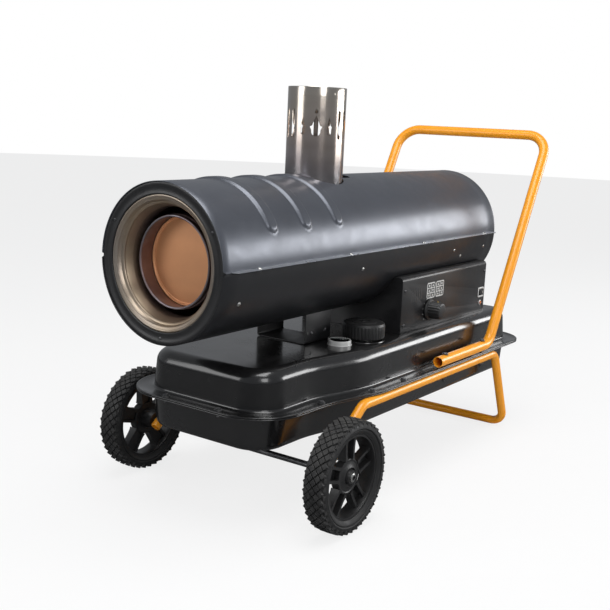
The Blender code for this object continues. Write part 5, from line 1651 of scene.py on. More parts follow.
# ====================================================================== fuel tank
@dataclass
class Tank(SubAssembly):
    """The pressed fuel tank: two halves with rolled lips, and the bolts round its flange."""

    taper_start: float = -0.160
    taper_end: float = -0.360
    front_half_width: float = 0.189
    front_corner: float = 0.105
    rear_corner: float = 0.085
    lip_width: float = 0.035
    lip_thickness: float = 0.003
    top_fillet: float = 0.026
    bottom_fillet: float = 0.016
    root_fillet: float = 0.005
    draft: float = 0.004
    seam_gap: float = 0.0003

    def __post_init__(self) -> None:
        """Reads the tank's box."""
        upper, lower = Span.of("tank_upper"), Span.of("tank_lower")
        self.front, self.rear = upper.low.y, upper.high.y
        self.half_width = upper.high.x
        self.top, self.bottom = upper.high.z, lower.low.z
        self.seam = (upper.low.z + lower.high.z) / 2

    def outline(self, inset: float, z: float) -> list[Point]:
        """The tank's plan, drawn in by inset: narrower ahead of the wheels, with round corners.

        Args:
            inset: distance inside the flange's edge.
            z: height.

        Returns:
            The outline.
        """
        front_corner, rear_corner = self.front_corner - inset, self.rear_corner - inset
        front_x, rear_x = self.front_half_width - inset, self.half_width - inset
        front_y, rear_y = self.front + inset, self.rear - inset
        right = arc((front_x - front_corner, front_y + front_corner), front_corner, -90, 0, 20)
        steps = 18
        for i in range(1, steps):
            y = self.taper_end + (self.taper_start - self.taper_end) * i / steps
            right.append((front_x + (rear_x - front_x) * ease(i / steps), y))
        right += [(rear_x, self.taper_start + (0.4 - self.taper_start) * i / 8) for i in range(8)]
        right += arc((rear_x - rear_corner, rear_y - rear_corner), rear_corner, 0, 90, 16)
        left = [(-x, y) for x, y in reversed(right)]
        return [(x, y, z) for x, y in right + left]

    def half(self, name: str, upper: bool) -> bpy.types.Object:
        """One pressed half: rolled lip, root fillet, drafted wall, large fillet, flat face.

        Args:
            name: the piece's name.
            upper: the upper or the lower half.

        Returns:
            The piece.
        """
        turn = 1 if upper else -1
        flat = self.top if upper else self.bottom
        fillet = self.top_fillet if upper else self.bottom_fillet
        seam = self.seam + turn * self.seam_gap / 2
        thick = self.lip_thickness
        rings = [self.outline(self.lip_width, seam), self.outline(0.0012, seam)]
        for angle in (-60, -30, 0, 30, 60, 90):
            out = thick / 2 * (1 - cos(radians(angle)))
            up = thick / 2 * (1 + sin(radians(angle)))
            rings.append(self.outline(out, seam + turn * up))
        rings.append(self.outline(0.0042, seam + turn * thick))
        rings.append(self.outline(0.0052, seam + turn * (thick - 0.0007)))
        root = self.root_fillet
        for angle in range(0, 91, 18):
            inset = self.lip_width - root + root * sin(radians(angle))
            rings.append(self.outline(inset,
                                      seam + turn * (thick - 0.0007 + root * (1 - cos(radians(angle))))))
        steps = 12
        start = flat - turn * fillet
        low = seam + turn * (thick - 0.0007 + root)
        for i in range(1, 4):
            rings.append(self.outline(self.lip_width + self.draft * i / 4, low + (start - low) * i / 4))
        for i in range(steps + 1):
            angle = pi / 2 * i / steps
            inset = self.lip_width + self.draft + fillet * (1 - cos(angle))
            rings.append(self.outline(inset, flat - turn * fillet * (1 - sin(angle))))
        last = self.lip_width + self.draft + fillet
        rings.append(self.outline(last + 0.0015, flat))
        rings.append(self.outline(last + 0.006, flat))
        return Forge.lofted(name, rings, 50.0)

    def bolt(self, name: str, x: float, y: float, radius: float = 0.0052) -> None:
        """A hex bolt down through both lips, with a washer, and its nut and thread end below."""
        top = self.seam + self.seam_gap / 2 + self.lip_thickness - 0.0007
        bottom = 2 * self.seam - top
        self.screw(f"{name}_head", (x, y, top), (0, 0, 1), radius, 0.0036, Drive.HEX, Coat.DARK_STEEL,
                   spin=37.0 * (x + y) * 10, washer=radius * 1.55)
        self.screw(f"{name}_nut", (x, y, bottom), (0, 0, -1), radius, 0.0042, Drive.HEX, Coat.DARK_STEEL,
                   spin=11.0, washer=radius * 1.55)
        thread = Forge.turned(f"{name}_end", [(0.0, bottom - 0.0085), (0.0022, bottom - 0.0085),
                                             (0.0028, bottom - 0.0078), (0.0028, bottom), (0.0, bottom)],
                              centre=(x, y, 0.0), sides=20)
        self.fit(thread, Coat.DARK_STEEL)

    def flange_bolts(self) -> None:
        """Bolts at intervals round the flange, clear of the handle and the frame."""
        inset = self.lip_width / 2 - 0.002
        for side in Side:
            for i, y in enumerate((-0.335, -0.195, -0.075)):
                share = ease((y - self.taper_end) / (self.taper_start - self.taper_end))
                width = self.front_half_width + (self.half_width - self.front_half_width) * share
                self.bolt(f"flange_bolt_{side.label}_{i}", side.value * (width - inset), y)
            self.bolt(f"flange_bolt_{side.label}_rear", side.value * 0.11, self.rear - inset)
        for i, x in enumerate((-0.065, 0.065)):
            self.bolt(f"flange_bolt_front_{i}", x, self.front + inset)

    def build(self) -> None:
        """Builds the tank."""
        self.fit(self.half("tank_top_pressing", True), Coat.GLOSS_BLACK, "tank_upper")
        self.fit(self.half("tank_bottom_pressing", False), Coat.GLOSS_BLACK, "tank_lower")
        self.flange_bolts()
        self.dress(Coat.BRASS, "fuel_pickup")
        plug = Span.of("drain_plug")
        x, y, z = plug.centre.x, plug.centre.y, self.bottom
        self.screw("drain_plug_head", (x, y, z - 0.0003), (0, 0, -1), plug.size.x / 2 / 1.1,
                   plug.high.z - plug.low.z
                   - 0.0063, Drive.HEX, Coat.ZINC)
        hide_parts("drain_plug")


@dataclass
class TankFittings(SubAssembly):
    """The filler with its ribbed cap and seal, the fuel gauge, and the fuel filter."""

    cap_ribs: int = 36
    knurl: float = 0.0011

    def cap(self) -> None:
        """The black ribbed cap: flat top with a raised centre and a moulded arrow, ribbed skirt, hollow."""
        span = Span.of("fuel_cap")
        neck = Span.of("filler_neck")
        radius = span.size.x / 2
        low, high = span.low.z, span.high.z
        skirt = neck.size.x / 2 - 0.006 + 0.0045
        roof = high - 0.010
        self.rib_low, self.rib_high = low + 0.003, high - 0.0075

        def ribbed(out: float, along: float, angle: float) -> float:
            """Draws the skin in between the ribs."""
            if out < radius - 0.0016 or not self.rib_low < along < self.rib_high:
                return out - (self.knurl if out > radius - 0.0016 else 0.0) * 0.5
            wave = abs(cos(self.cap_ribs * angle / 2)) ** 0.7
            return out - self.knurl * (1 - wave)

        profile: list[Flat] = [(0.0, roof), (skirt, roof), (skirt, low), (radius - 0.003, low),
                               (radius, low + 0.002)]
        profile += [(radius, low + 0.0031), (radius, (low + high) / 2), (radius, high - 0.0078)]
        profile += [(radius, high - 0.0070), (radius - 0.0006, high - 0.0046),
                    (radius - 0.0022, high - 0.0024)]
        profile += [(radius - 0.0048, high - 0.0014), (radius * 0.62, high - 0.0012),
                    (radius * 0.60, high - 0.0004)]
        profile += [(radius * 0.56, high), (radius * 0.30, high), (radius * 0.28, high - 0.0007),
                    (0.0, high - 0.0007)]
        cap = Forge.turned("filler_cap", profile, Axis.Z, (span.centre.x, span.centre.y, 0.0),
                           self.cap_ribs * 8,
                           30.0, ribbed)
        self.fit(cap, Coat.MOULDED, "fuel_cap", body="cap")
        arrow = [(-0.0035, -0.010), (0.0035, -0.010), (0.0035, 0.002), (0.008, 0.002), (0.0, 0.011),
                 (-0.008, 0.002),
                 (-0.0035, 0.002)]
        mark = Forge.prism("cap_arrow", [(span.centre.x + u * 0.8, span.centre.y + v * 0.8) for u,
                                         v in arrow],
                           high - 0.0012, high - 0.0001, round_edge=0.0002)
        self.fit(mark, Coat.MOULDED, body="cap")
        self.dress(Coat.HOSE, "cap_seal")
        self.dress(Coat.ZINC, "filler_neck")

    def filler_flange(self) -> None:
        """The pressed ring round the filler, under the cap."""
        neck = Span.of("filler_neck")
        top = Span.of("tank_upper").high.z
        radius = neck.size.x / 2 + 0.010
        profile = [(neck.size.x / 2 - 0.004, top - 0.0006), (radius, top - 0.0006),
                   (radius - 0.0006, top + 0.0012)]
        profile += [(radius - 0.003, top + 0.0018), (neck.size.x / 2 + 0.0006, top + 0.0024),
                    (neck.size.x / 2 - 0.004, top + 0.0024)]
        ring = Forge.turned("filler_ring", profile, Axis.Z, (neck.centre.x, neck.centre.y, 0.0), 96, 30.0)
        self.fit(ring, Coat.GLOSS_BLACK)

    def gauge(self) -> None:
        """The raised gauge: satin silver bezel, pale dial with a dark scale, clear cover over the pointer."""
        span = Span.of("gauge_case")
        lens = Span.of("gauge_lens")
        x, y = span.centre.x, Span.of("gauge_pointer").centre.y
        x = lens.centre.x
        base = Span.of("tank_upper").high.z + 0.0003
        top = span.high.z
        radius = lens.size.x / 2 + 0.0033
        floor = top - 0.005
        well = lens.size.x / 2 + 0.0002
        profile = [(well, floor), (well, top - 0.0006), (well + 0.0006, top), (radius - 0.0016, top)]
        profile += [(radius - 0.0004, top - 0.0006), (radius, top - 0.0018), (radius, base + 0.0018)]
        profile += [(radius + 0.0014, base + 0.0010), (radius + 0.0016, base), (0.0, base), (0.0, floor)]
        self.fit(Forge.turned("gauge_bezel", profile, Axis.Z, (x, y, 0.0), 96, 30.0), Coat.GAUGE_FACE,
                 "gauge_case")
        dial = Forge.rod("gauge_dial", well - 0.0006, floor - 0.0002, floor + 0.0003, Axis.Z, (x, y, 0.0), 64)
        self.fit(dial, Coat.LABEL)
        ticks = []
        for i in range(9):
            turn = radians(-76.0 + 19.0 * i)
            inner, outer = (0.0118, 0.0172) if i % 4 == 0 else (0.0142, 0.0172)
            half = 0.0006 if i % 4 == 0 else 0.0003
            out, across = (cos(turn), sin(turn)), (-sin(turn), cos(turn))
            outline = [(x + reach * out[0] + edge * across[0], y + reach * out[1] + edge * across[1])
                       for reach, edge in ((inner, -half), (outer, -half), (outer, half), (inner, half))]
            ticks.append(Forge.prism(f"tick_{i}", outline, floor + 0.0002, floor + 0.00042))
        self.fit(Forge.joined("gauge_scale", *ticks), Coat.INK_AND_PAINTED_SHADE)
        cover = [(0.0, top - 0.0012), (well - 0.0006, top - 0.0012), (well - 0.0006, top - 0.0002)]
        cover += [(well * share, top + 0.0022 * (1 - share**2)) for share in (0.92, 0.8, 0.65, 0.5, 0.33,
                                                                              0.16)]
        cover.append((0.0, top + 0.0022))
        self.fit(Forge.turned("gauge_cover", cover, Axis.Z, (x, y, 0.0), 96, 40.0), Coat.CLEAR, "gauge_lens")
        pointer = Span.of("gauge_pointer")
        z = pointer.low.z
        needle = [(x - 0.0062, y - 0.0012), (x, y - 0.0020), (x + 0.0148, y - 0.0003),
                  (x + 0.0148, y + 0.0003),
                  (x, y + 0.0020), (x - 0.0062, y + 0.0012)]
        self.fit(Forge.prism("gauge_needle", needle, z, pointer.high.z, round_edge=0.0002), Coat.RED,
                 "gauge_pointer", body="pointer")
        self.dress(Coat.BRASS, "float_arm")
        self.dress(Coat.FOAM, "gauge_float")

    def filter(self) -> None:
        """The clear fuel filter with its pleated element."""
        span = Span.of("fuel_filter")
        x, z = span.centre.x, span.centre.z
        low, high, radius = span.low.y, span.high.y, span.size.x / 2
        shell = [(0.0, low), (0.0056, low), (0.0058, low + 0.006), (radius * 0.7, low + 0.0075),
                 (radius, low + 0.011)]
        shell += [(radius, high - 0.011), (radius * 0.7, high - 0.0075), (0.0058, high - 0.006),
                  (0.0056, high)]
        shell.append((0.0, high))
        self.fit(Forge.turned("filter_bowl", shell, Axis.Y, (x, 0.0, z), 64), Coat.CLEAR, "fuel_filter")
        pleat = Forge.turned("filter_element", [(0.0, low + 0.013), (radius * 0.72, low + 0.013),
                                               (radius * 0.72, high - 0.013), (0.0, high - 0.013)], Axis.Y,
                             (x, 0.0, z), 96, 20.0, lambda out, _,
                             angle: out * (1 - 0.16 * abs(sin(12 * angle))))
        self.fit(pleat, Coat.LABEL)

    def build(self) -> None:
        """Builds the fittings."""
        self.cap()
        self.filler_flange()
        self.gauge()
        self.filter()
        self.hose()

    def hose(self) -> None:
        """The fuel hose from the filter up to the pump, with a clip at its low end."""
        span = Span.of("fuel_line")
        pump = Span.of("fuel_pump")
        radius = 0.004
        x, z = span.low.x + radius, span.low.z + radius
        corners = [(x, span.low.y, z), (x, pump.centre.y, z), (x, pump.centre.y, pump.centre.z)]
        corners.append((span.high.x, pump.centre.y, pump.centre.z))
        path = rounded_path(corners, [0.020, 0.015], 14)
        self.fit(Forge.swept("fuel_hose", path, radius, sides=24, lip=0.0004), Coat.HOSE, "fuel_line")
        for name, start in (("hose_clip_low", Vector(corners[0]) + Vector((0.0, 0.007, 0.0))),):
            clip = Forge.turned(name, [(radius, start.y - 0.003), (radius + 0.0009, start.y - 0.003),
                                      (radius + 0.0009, start.y + 0.003), (radius, start.y + 0.003)], Axis.Y,
                                (start.x, 0.0, start.z), 40)
            self.fit(clip, Coat.ZINC)


# ====================================================================== saddle and control box
@dataclass
class Saddle(SubAssembly):
    """The folded pedestal between the tank and the barrel."""

    sheet: float = 0.002
    bend: float = 0.006

    def build(self) -> None:
        """Builds the saddle as one folded U, its top edges following the barrel."""
        span = Span.of("front_saddle")
        upper = Span.of("upper_shell")
        axis_z = (upper.low.z + Span.of("lower_shell").high.z) / 2
        half, low = span.size.x / 2, span.low.z
        top = axis_z
        outer = [(-half, top), (-half, low + self.bend)]
        outer += arc((-half + self.bend, low + self.bend), self.bend, 180, 270, 6)[1:]
        outer += arc((half - self.bend, low + self.bend), self.bend, 270, 360, 6)
        outer.append((half, top))
        inner_bend = self.bend - self.sheet
        inner = [(half - self.sheet, top)]
        inner += arc((half - self.bend, low + self.bend), inner_bend, 360, 270, 6)
        inner += arc((-half + self.bend, low + self.bend), inner_bend, 270, 180, 6)
        inner.append((-half + self.sheet, top))
        body = Forge.prism("pedestal", [(x, z) for x, z in outer + inner], span.low.y, span.high.y, Axis.Y)
        barrel = Forge.rod("barrel_cut", 0.1445, span.low.y - 0.02, span.high.y + 0.02, Axis.Y,
                           (0.0, 0.0, axis_z), 160)
        Forge.cut(body, barrel)
        Forge.bevelled(body, 0.0004)
        self.fit(body, Coat.SATIN_BLACK, "front_saddle")
        for side in Side:
            for i, y in enumerate((span.low.y + 0.02, span.high.y - 0.02)):
                place = (side.value * half, y, low + 0.022)
                self.screw(f"pedestal_screw_{side.label}_{i}", place, (side.value, 0, 0), 0.0036, 0.0022,
                           spin=23.0 * i)


@dataclass
class ControlBox(SubAssembly):
    """The box on the right-hand side: its casing, the bent front panel, and everything on the panel."""

    sheet: float = 0.0012
    bend: float = 0.007

    def __post_init__(self) -> None:
        """Reads the box's and the panel's places."""
        self.box = Span.of("control_box")
        self.panel = Span.of("control_panel")
        self.face = self.panel.high.x
        upper = Span.of("upper_shell")
        self.axis_z = (upper.low.z + Span.of("lower_shell").high.z) / 2

    def barrel_cut(self, extra: float = 0.0005) -> bpy.types.Object:
        """The cutter that keeps the box clear of the barrel."""
        low, high = self.box.low.y - 0.02, self.box.high.y + 0.02
        profile = [(0.0, low), (0.144 + extra, low), (0.144 + extra, high), (0.0, high)]
        return Forge.turned("barrel_cut", profile, Axis.Y, (0.0, 0.0, self.axis_z), 160)

    def casing(self) -> None:
        """The box behind the panel, open towards the panel and under the barrel."""
        low, high = self.box.low, self.box.high
        bend = self.bend
        outline = [(low.x, low.z), (high.x, low.z), (high.x, high.z - bend)]
        outline += arc((high.x - bend, high.z - bend), bend, 0, 90, 6)[1:]
        outline.append((low.x, high.z))
        body = Forge.prism("control_casing", outline, low.y, high.y, Axis.Y)
        hollow = Forge.prism("hollow", [(low.x + self.sheet, low.z + self.sheet),
                                        (high.x + 0.02, low.z + self.sheet),
                                        (high.x + 0.02, high.z + 0.02), (low.x + self.sheet, high.z + 0.02)],
                             low.y + self.sheet, high.y - self.sheet, Axis.Y)
        pickup = Span.of("fuel_pickup")
        pipe = Forge.rod("pipe_cut", 0.006, low.z - 0.01, low.z + 0.01,
                         centre=(pickup.centre.x, pickup.low.y + 0.004, 0.0), sides=32)
        gland = Span.of("power_gland")
        hole = Forge.rod("gland_cut", 0.0093, high.y - 0.01, high.y + 0.01, Axis.Y,
                         (gland.centre.x, 0.0, gland.centre.z), 48)
        Forge.cut(body, hollow, self.barrel_cut(), pipe, hole)
        Forge.bevelled(body, 0.0003)
        self.fit(body, Coat.SATIN_BLACK, "control_box")

    def front_panel(self) -> None:
        """The satin panel: flat face, rolled top edge, folded sides, and cut-outs for its parts."""
        low, high = self.panel.low, self.panel.high
        bend, sheet = self.bend + 0.002, self.sheet
        outline = [(high.x, low.z)]
        outline += arc((high.x - bend, high.z - bend), bend, 0, 90, 10)
        outline += [(low.x, high.z), (low.x, high.z - sheet)]
        outline += arc((high.x - bend, high.z - bend), bend - sheet, 90, 0, 10)
        outline.append((high.x - sheet, low.z))
        panel = Forge.prism("panel_face", outline, low.y, high.y, Axis.Y)
        knob, switch, lamp = Span.of("thermostat_knob"), Span.of("switch_housing"), Span.of("mains_lamp")

        def bore(name: str, radius: float, at: Vector) -> bpy.types.Object:
            """Makes the cutter of a round hole through the panel."""
            return Forge.rod(name, radius, low.x - 0.02, high.x + 0.02, Axis.X, (0.0, at.y, at.z), 32)

        shaft_cut = bore("shaft_cut", 0.0040, knob.centre)
        window = rounded_box((switch.low.y + 0.0022, switch.low.z + 0.0022),
                             (switch.high.y - 0.0022, switch.high.z - 0.0022), 0.0008, 3)
        switch_cut = Forge.prism("switch_cut", window, low.x - 0.02, high.x + 0.02, Axis.X)
        Forge.cut(panel, shaft_cut, switch_cut, bore("lamp_cut", 0.0038, lamp.centre))
        Forge.bevelled(panel, 0.00045)
        self.fit(panel, Coat.SATIN_BLACK, "control_panel")
        for i, (y, z) in enumerate(((low.y + 0.012, low.z + 0.018), (low.y + 0.012, high.z - 0.030),
                                    (high.y - 0.012, low.z + 0.018), (high.y - 0.008, high.z - 0.024))):
            self.screw(f"panel_screw_{i}", (self.face, y, z), (1, 0, 0), 0.0036, 0.0022, spin=27.0 * i)
        # Painted shade: six thin dark plates on the flat face stand in for the shade inside louvre slots; no
        # slots are cut in the panel.
        for i in range(6):
            y = low.y + 0.040 + 0.0085 * i
            slot = rounded_box((y, high.z - 0.058), (y + 0.0034, high.z - 0.030), 0.0016, 4)
            louvre = Forge.prism(f"panel_louvre_{i}", slot, self.face - 0.0001, self.face + 0.00022, Axis.X)
            self.fit(louvre, Coat.INK_AND_PAINTED_SHADE)

    def knob(self) -> None:
        """The fluted thermostat knob with its skirt and white pointer line, and the scale round it."""
        span = Span.of("thermostat_knob")
        centre = (0.0, span.centre.y, span.centre.z)
        radius, base, end = span.size.y / 2, self.face + 0.0012, span.high.x
        flutes = 18

        def fluted(out: float, along: float, angle: float) -> float:
            """Draws the grip in between its flutes."""
            if out < radius * 0.62 or along < base + 0.0062:
                return out
            return out - 0.0009 * (0.5 + 0.5 * cos(flutes * angle)) ** 1.5

        profile: list[Flat] = [(0.0, base - 0.010), (0.0028, base - 0.010), (0.0028, base),
                               (radius - 0.001, base)]
        profile += [(radius, base + 0.0010), (radius, base + 0.0034), (radius - 0.0012, base + 0.0050)]
        profile += [(radius - 0.0036, base + 0.0060), (radius - 0.0042, base + 0.0070),
                    (radius - 0.0052, end - 0.0040)]
        profile += [(radius - 0.0062, end - 0.0016), (radius - 0.0085, end - 0.0003), (radius - 0.0100, end)]
        profile.append((0.0, end))
        dial = Forge.turned("knob_grip", profile, Axis.X, centre, 144, 32.0, fluted)
        self.fit(dial, Coat.MOULDED, "thermostat_knob", body="knob")
        line = rounded_box((centre[1] - 0.0007, centre[2] + 0.0018), (centre[1] + 0.0007, centre[2] + 0.0094),
                           0.0005, 3)
        self.fit(Forge.prism("knob_line", line, end - 0.0004, end - 0.00001, Axis.X), Coat.LABEL, body="knob")
        marks = []
        for i in range(11):
            turn = radians(225.0 - 27.0 * i)
            is_long = i % 5 == 0
            inner, outer = radius + 0.0022, radius + (0.0058 if is_long else 0.0044)
            half = 0.00052 if is_long else 0.0004
            out, across = (cos(turn), sin(turn)), (-sin(turn), cos(turn))
            outline = [(centre[1] + reach * out[0] + edge * across[0],
                        centre[2] + reach * out[1] + edge * across[1])
                       for reach, edge in ((inner, -half), (outer, -half), (outer, half), (inner, half))]
            marks.append(Forge.prism(f"mark_{i}", outline, self.face - 0.0001, self.face + 0.00018, Axis.X))
        self.fit(Forge.joined("knob_scale", *marks), Coat.LABEL)
        self.dress(Coat.CERAMIC, "thermostat_body")

    def switch(self) -> None:
        """The rocker switch: silver-edged frame, black housing and a curved rocker with one mark."""
        span, rocker = Span.of("switch_housing"), Span.of("power_switch")
        low, high = (span.low.y, span.low.z), (span.high.y, span.high.z)
        frame_plate = Forge.prism("switch_frame", rounded_box(low, high, 0.0022, 5), self.face + 0.0002,
                                  self.face + 0.0020, Axis.X)
        well = rounded_box((low[0] + 0.0042, low[1] + 0.0042), (high[0] - 0.0042, high[1] - 0.0042), 0.0008,
                           3)
        Forge.cut(frame_plate, Forge.prism("well", well, self.face - 0.02, self.face + 0.02, Axis.X))
        Forge.bevelled(frame_plate, 0.0005)
        self.fit(frame_plate, Coat.GAUGE_FACE, "switch_housing")
        shell = Forge.prism("switch_body", rounded_box((low[0] + 0.0026, low[1] + 0.0026),
                                                       (high[0] - 0.0026, high[1] - 0.0026), 0.0008, 3),
                            span.low.x, self.face + 0.0006, Axis.X)
        well = rounded_box((low[0] + 0.0044, low[1] + 0.0044), (high[0] - 0.0044, high[1] - 0.0044), 0.0006,
                           3)
        Forge.cut(shell, Forge.prism("well", well, self.face - 0.0100, self.face + 0.02, Axis.X))
        self.fit(shell, Coat.MOULDED)
        middle, pivot = rocker.centre.y, rocker.low.x + 0.003
        tip, crest = rocker.size.y / 2, rocker.high.x
        outline = [(rocker.low.x, middle), (pivot, middle - 0.6 * tip), (crest - 0.0006, middle - tip)]
        outline.append((crest, middle - tip + 0.0004))
        outline += [(crest - 0.0024 * (1 - share**2), middle + share * tip) for share in
                    (-0.85, -0.6, -0.35, -0.1, 0.1, 0.35, 0.6, 0.85)]
        outline += [(crest, middle + tip - 0.0004), (crest - 0.0006, middle + tip),
                    (pivot, middle + 0.6 * tip)]
        body = Forge.prism("switch_rocker", outline, rocker.low.z, rocker.high.z, Axis.Z, round_edge=0.0003)
        self.fit(body, Coat.MOULDED, "power_switch", body="switch")
        middle_z = rocker.centre.z
        bar = [(crest - 0.0011, middle + 0.0062), (crest - 0.0009, middle + 0.0062),
               (crest - 0.0003, middle + 0.0072),
               (crest - 0.0006, middle + 0.0072)]
        self.fit(Forge.prism("switch_mark", bar, middle_z - 0.0028, middle_z + 0.0028, Axis.Z), Coat.LABEL,
                 body="switch")

    def lamp(self) -> None:
        """The amber mains lamp in its small bezel."""
        span = Span.of("mains_lamp")
        centre = (0.0, span.centre.y, span.centre.z)
        face = self.face
        dome = [(0.0, span.low.x), (0.0033, span.low.x), (0.0033, face + 0.0004), (0.0040, face + 0.0008)]
        dome += [(0.0040 * cos(radians(t)), face + 0.0012 + (span.high.x - face - 0.0012) * sin(radians(t)))
                 for t in (0, 20, 40, 60, 78)]
        dome.append((0.0, span.high.x))
        self.fit(Forge.turned("lamp_lens", dome, Axis.X, centre, 48), Coat.AMBER, "mains_lamp")
        bezel = [(0.0041, face + 0.0002), (0.0060, face + 0.0002), (0.0058, face + 0.0016),
                 (0.0044, face + 0.0020)]
        self.fit(Forge.turned("lamp_bezel", bezel, Axis.X, centre, 48), Coat.GAUGE_FACE)

    def labels(self) -> None:
        """Two plain pictogram labels and a small warning triangle, with no words."""
        def plate(name: str, y: float, z: float, wide: float, tall: float, coat: Coat,
                  lift: float = 0.0003) -> None:
            """Sticks a thin rounded plate to the panel."""
            outline = rounded_box((y - wide / 2, z - tall / 2), (y + wide / 2, z + tall / 2),
                                  min(wide, tall) * 0.12, 4)
            self.fit(Forge.prism(name, outline, self.face - 0.0001, self.face + lift, Axis.X), coat)

        z = self.panel.high.z - 0.041
        for i, y in enumerate((0.126, 0.168)):
            plate(f"label_{i}", y, z, 0.037, 0.036, Coat.LABEL)
            for row in range(3):
                for column in range(2):
                    across, height = y - 0.0085 + 0.0170 * column, z + 0.0110 - 0.0110 * row
                    plate(f"label_{i}_box_{row}_{column}", across, height, 0.0145, 0.0090, Coat.INK_AND_PAINTED_SHADE, 0.00042)
                    shape = [(-0.0038, -0.0022), (0.0038, -0.0022),
                             (0.0, 0.0028)] if (row + column + i) % 2 else \
                        arc((0.0, 0.0), 0.0027, 0, 330, 11)
                    spot = [(across + u, height + v) for u, v in shape]
                    self.fit(Forge.prism(f"label_{i}_sign_{row}_{column}", spot, self.face,
                                         self.face + 0.00054,
                                         Axis.X), Coat.LABEL)
        knob = Span.of("thermostat_knob")
        y, z = knob.high.y + 0.020, knob.centre.z + 0.004
        triangle = [(y - 0.0085, z - 0.0050), (y + 0.0085, z - 0.0050), (y, z + 0.0092)]
        self.fit(Forge.prism("warning_triangle", triangle, self.face - 0.0001, self.face + 0.0003, Axis.X),
                 Coat.YELLOW)
        inner = [(y - 0.0058, z - 0.0034), (y + 0.0058, z - 0.0034), (y, z + 0.0064)]
        self.fit(Forge.prism("warning_edge", inner, self.face, self.face + 0.00042, Axis.X), Coat.INK_AND_PAINTED_SHADE)
        core = [(y - 0.0044, z - 0.0026), (y + 0.0044, z - 0.0026), (y, z + 0.0048)]
        self.fit(Forge.prism("warning_core", core, self.face, self.face + 0.00054, Axis.X), Coat.YELLOW)

    def gland(self) -> None:
        """The mains gland on the rear wall: lock nut, hexagon and ribbed dome."""
        span = Span.of("power_gland")
        centre = (span.centre.x, 0.0, span.centre.z)
        wall = self.box.high.y
        dome = [(0.0062, wall + 0.0068), (0.0108, wall + 0.0068), (0.0110, wall + 0.0110),
                (0.0092, wall + 0.0148)]
        dome += [(0.0070, span.high.y - 0.0002), (0.0058, span.high.y), (0.0052, span.high.y - 0.001),
                 (0.0052, wall + 0.0070)]
        cap = Forge.turned("gland_dome", dome, Axis.Y, centre, 96, 30.0,
                           lambda out, _,
                           angle: out - (0.0005 * (0.5 + 0.5 * cos(12 * angle)) if out > 0.0088 else 0))
        self.fit(cap, Coat.MOULDED, "power_gland")
        hexagon = [(centre[0] + 0.0132 * cos(tau * i / 6),
                    centre[2] + 0.0132 * sin(tau * i / 6)) for i in range(6)]
        self.fit(Forge.prism("gland_hexagon", hexagon, wall + 0.0003, wall + 0.0062, Axis.Y,
                             round_edge=0.0006),
                 Coat.MOULDED)
        body = Forge.turned("gland_thread", [(0.0050, span.low.y), (0.0086, span.low.y),
                                             (0.0086, wall + 0.0008),
                                            (0.0086, wall + 0.0068), (0.0050, wall + 0.0068)], Axis.Y, centre,
                                            64)
        self.fit(body, Coat.MOULDED)

    def insides(self) -> None:
        """The parts in the box that show only from below or behind."""
        self.dress(Coat.COPPER, "ignition_transformer")
        self.dress(Coat.GREEN, "control_board")

    def build(self) -> None:
        """Builds the control box."""
        self.casing()
        self.front_panel()
        self.knob()
        self.switch()
        self.lamp()
        self.labels()
        self.gland()
        self.insides()


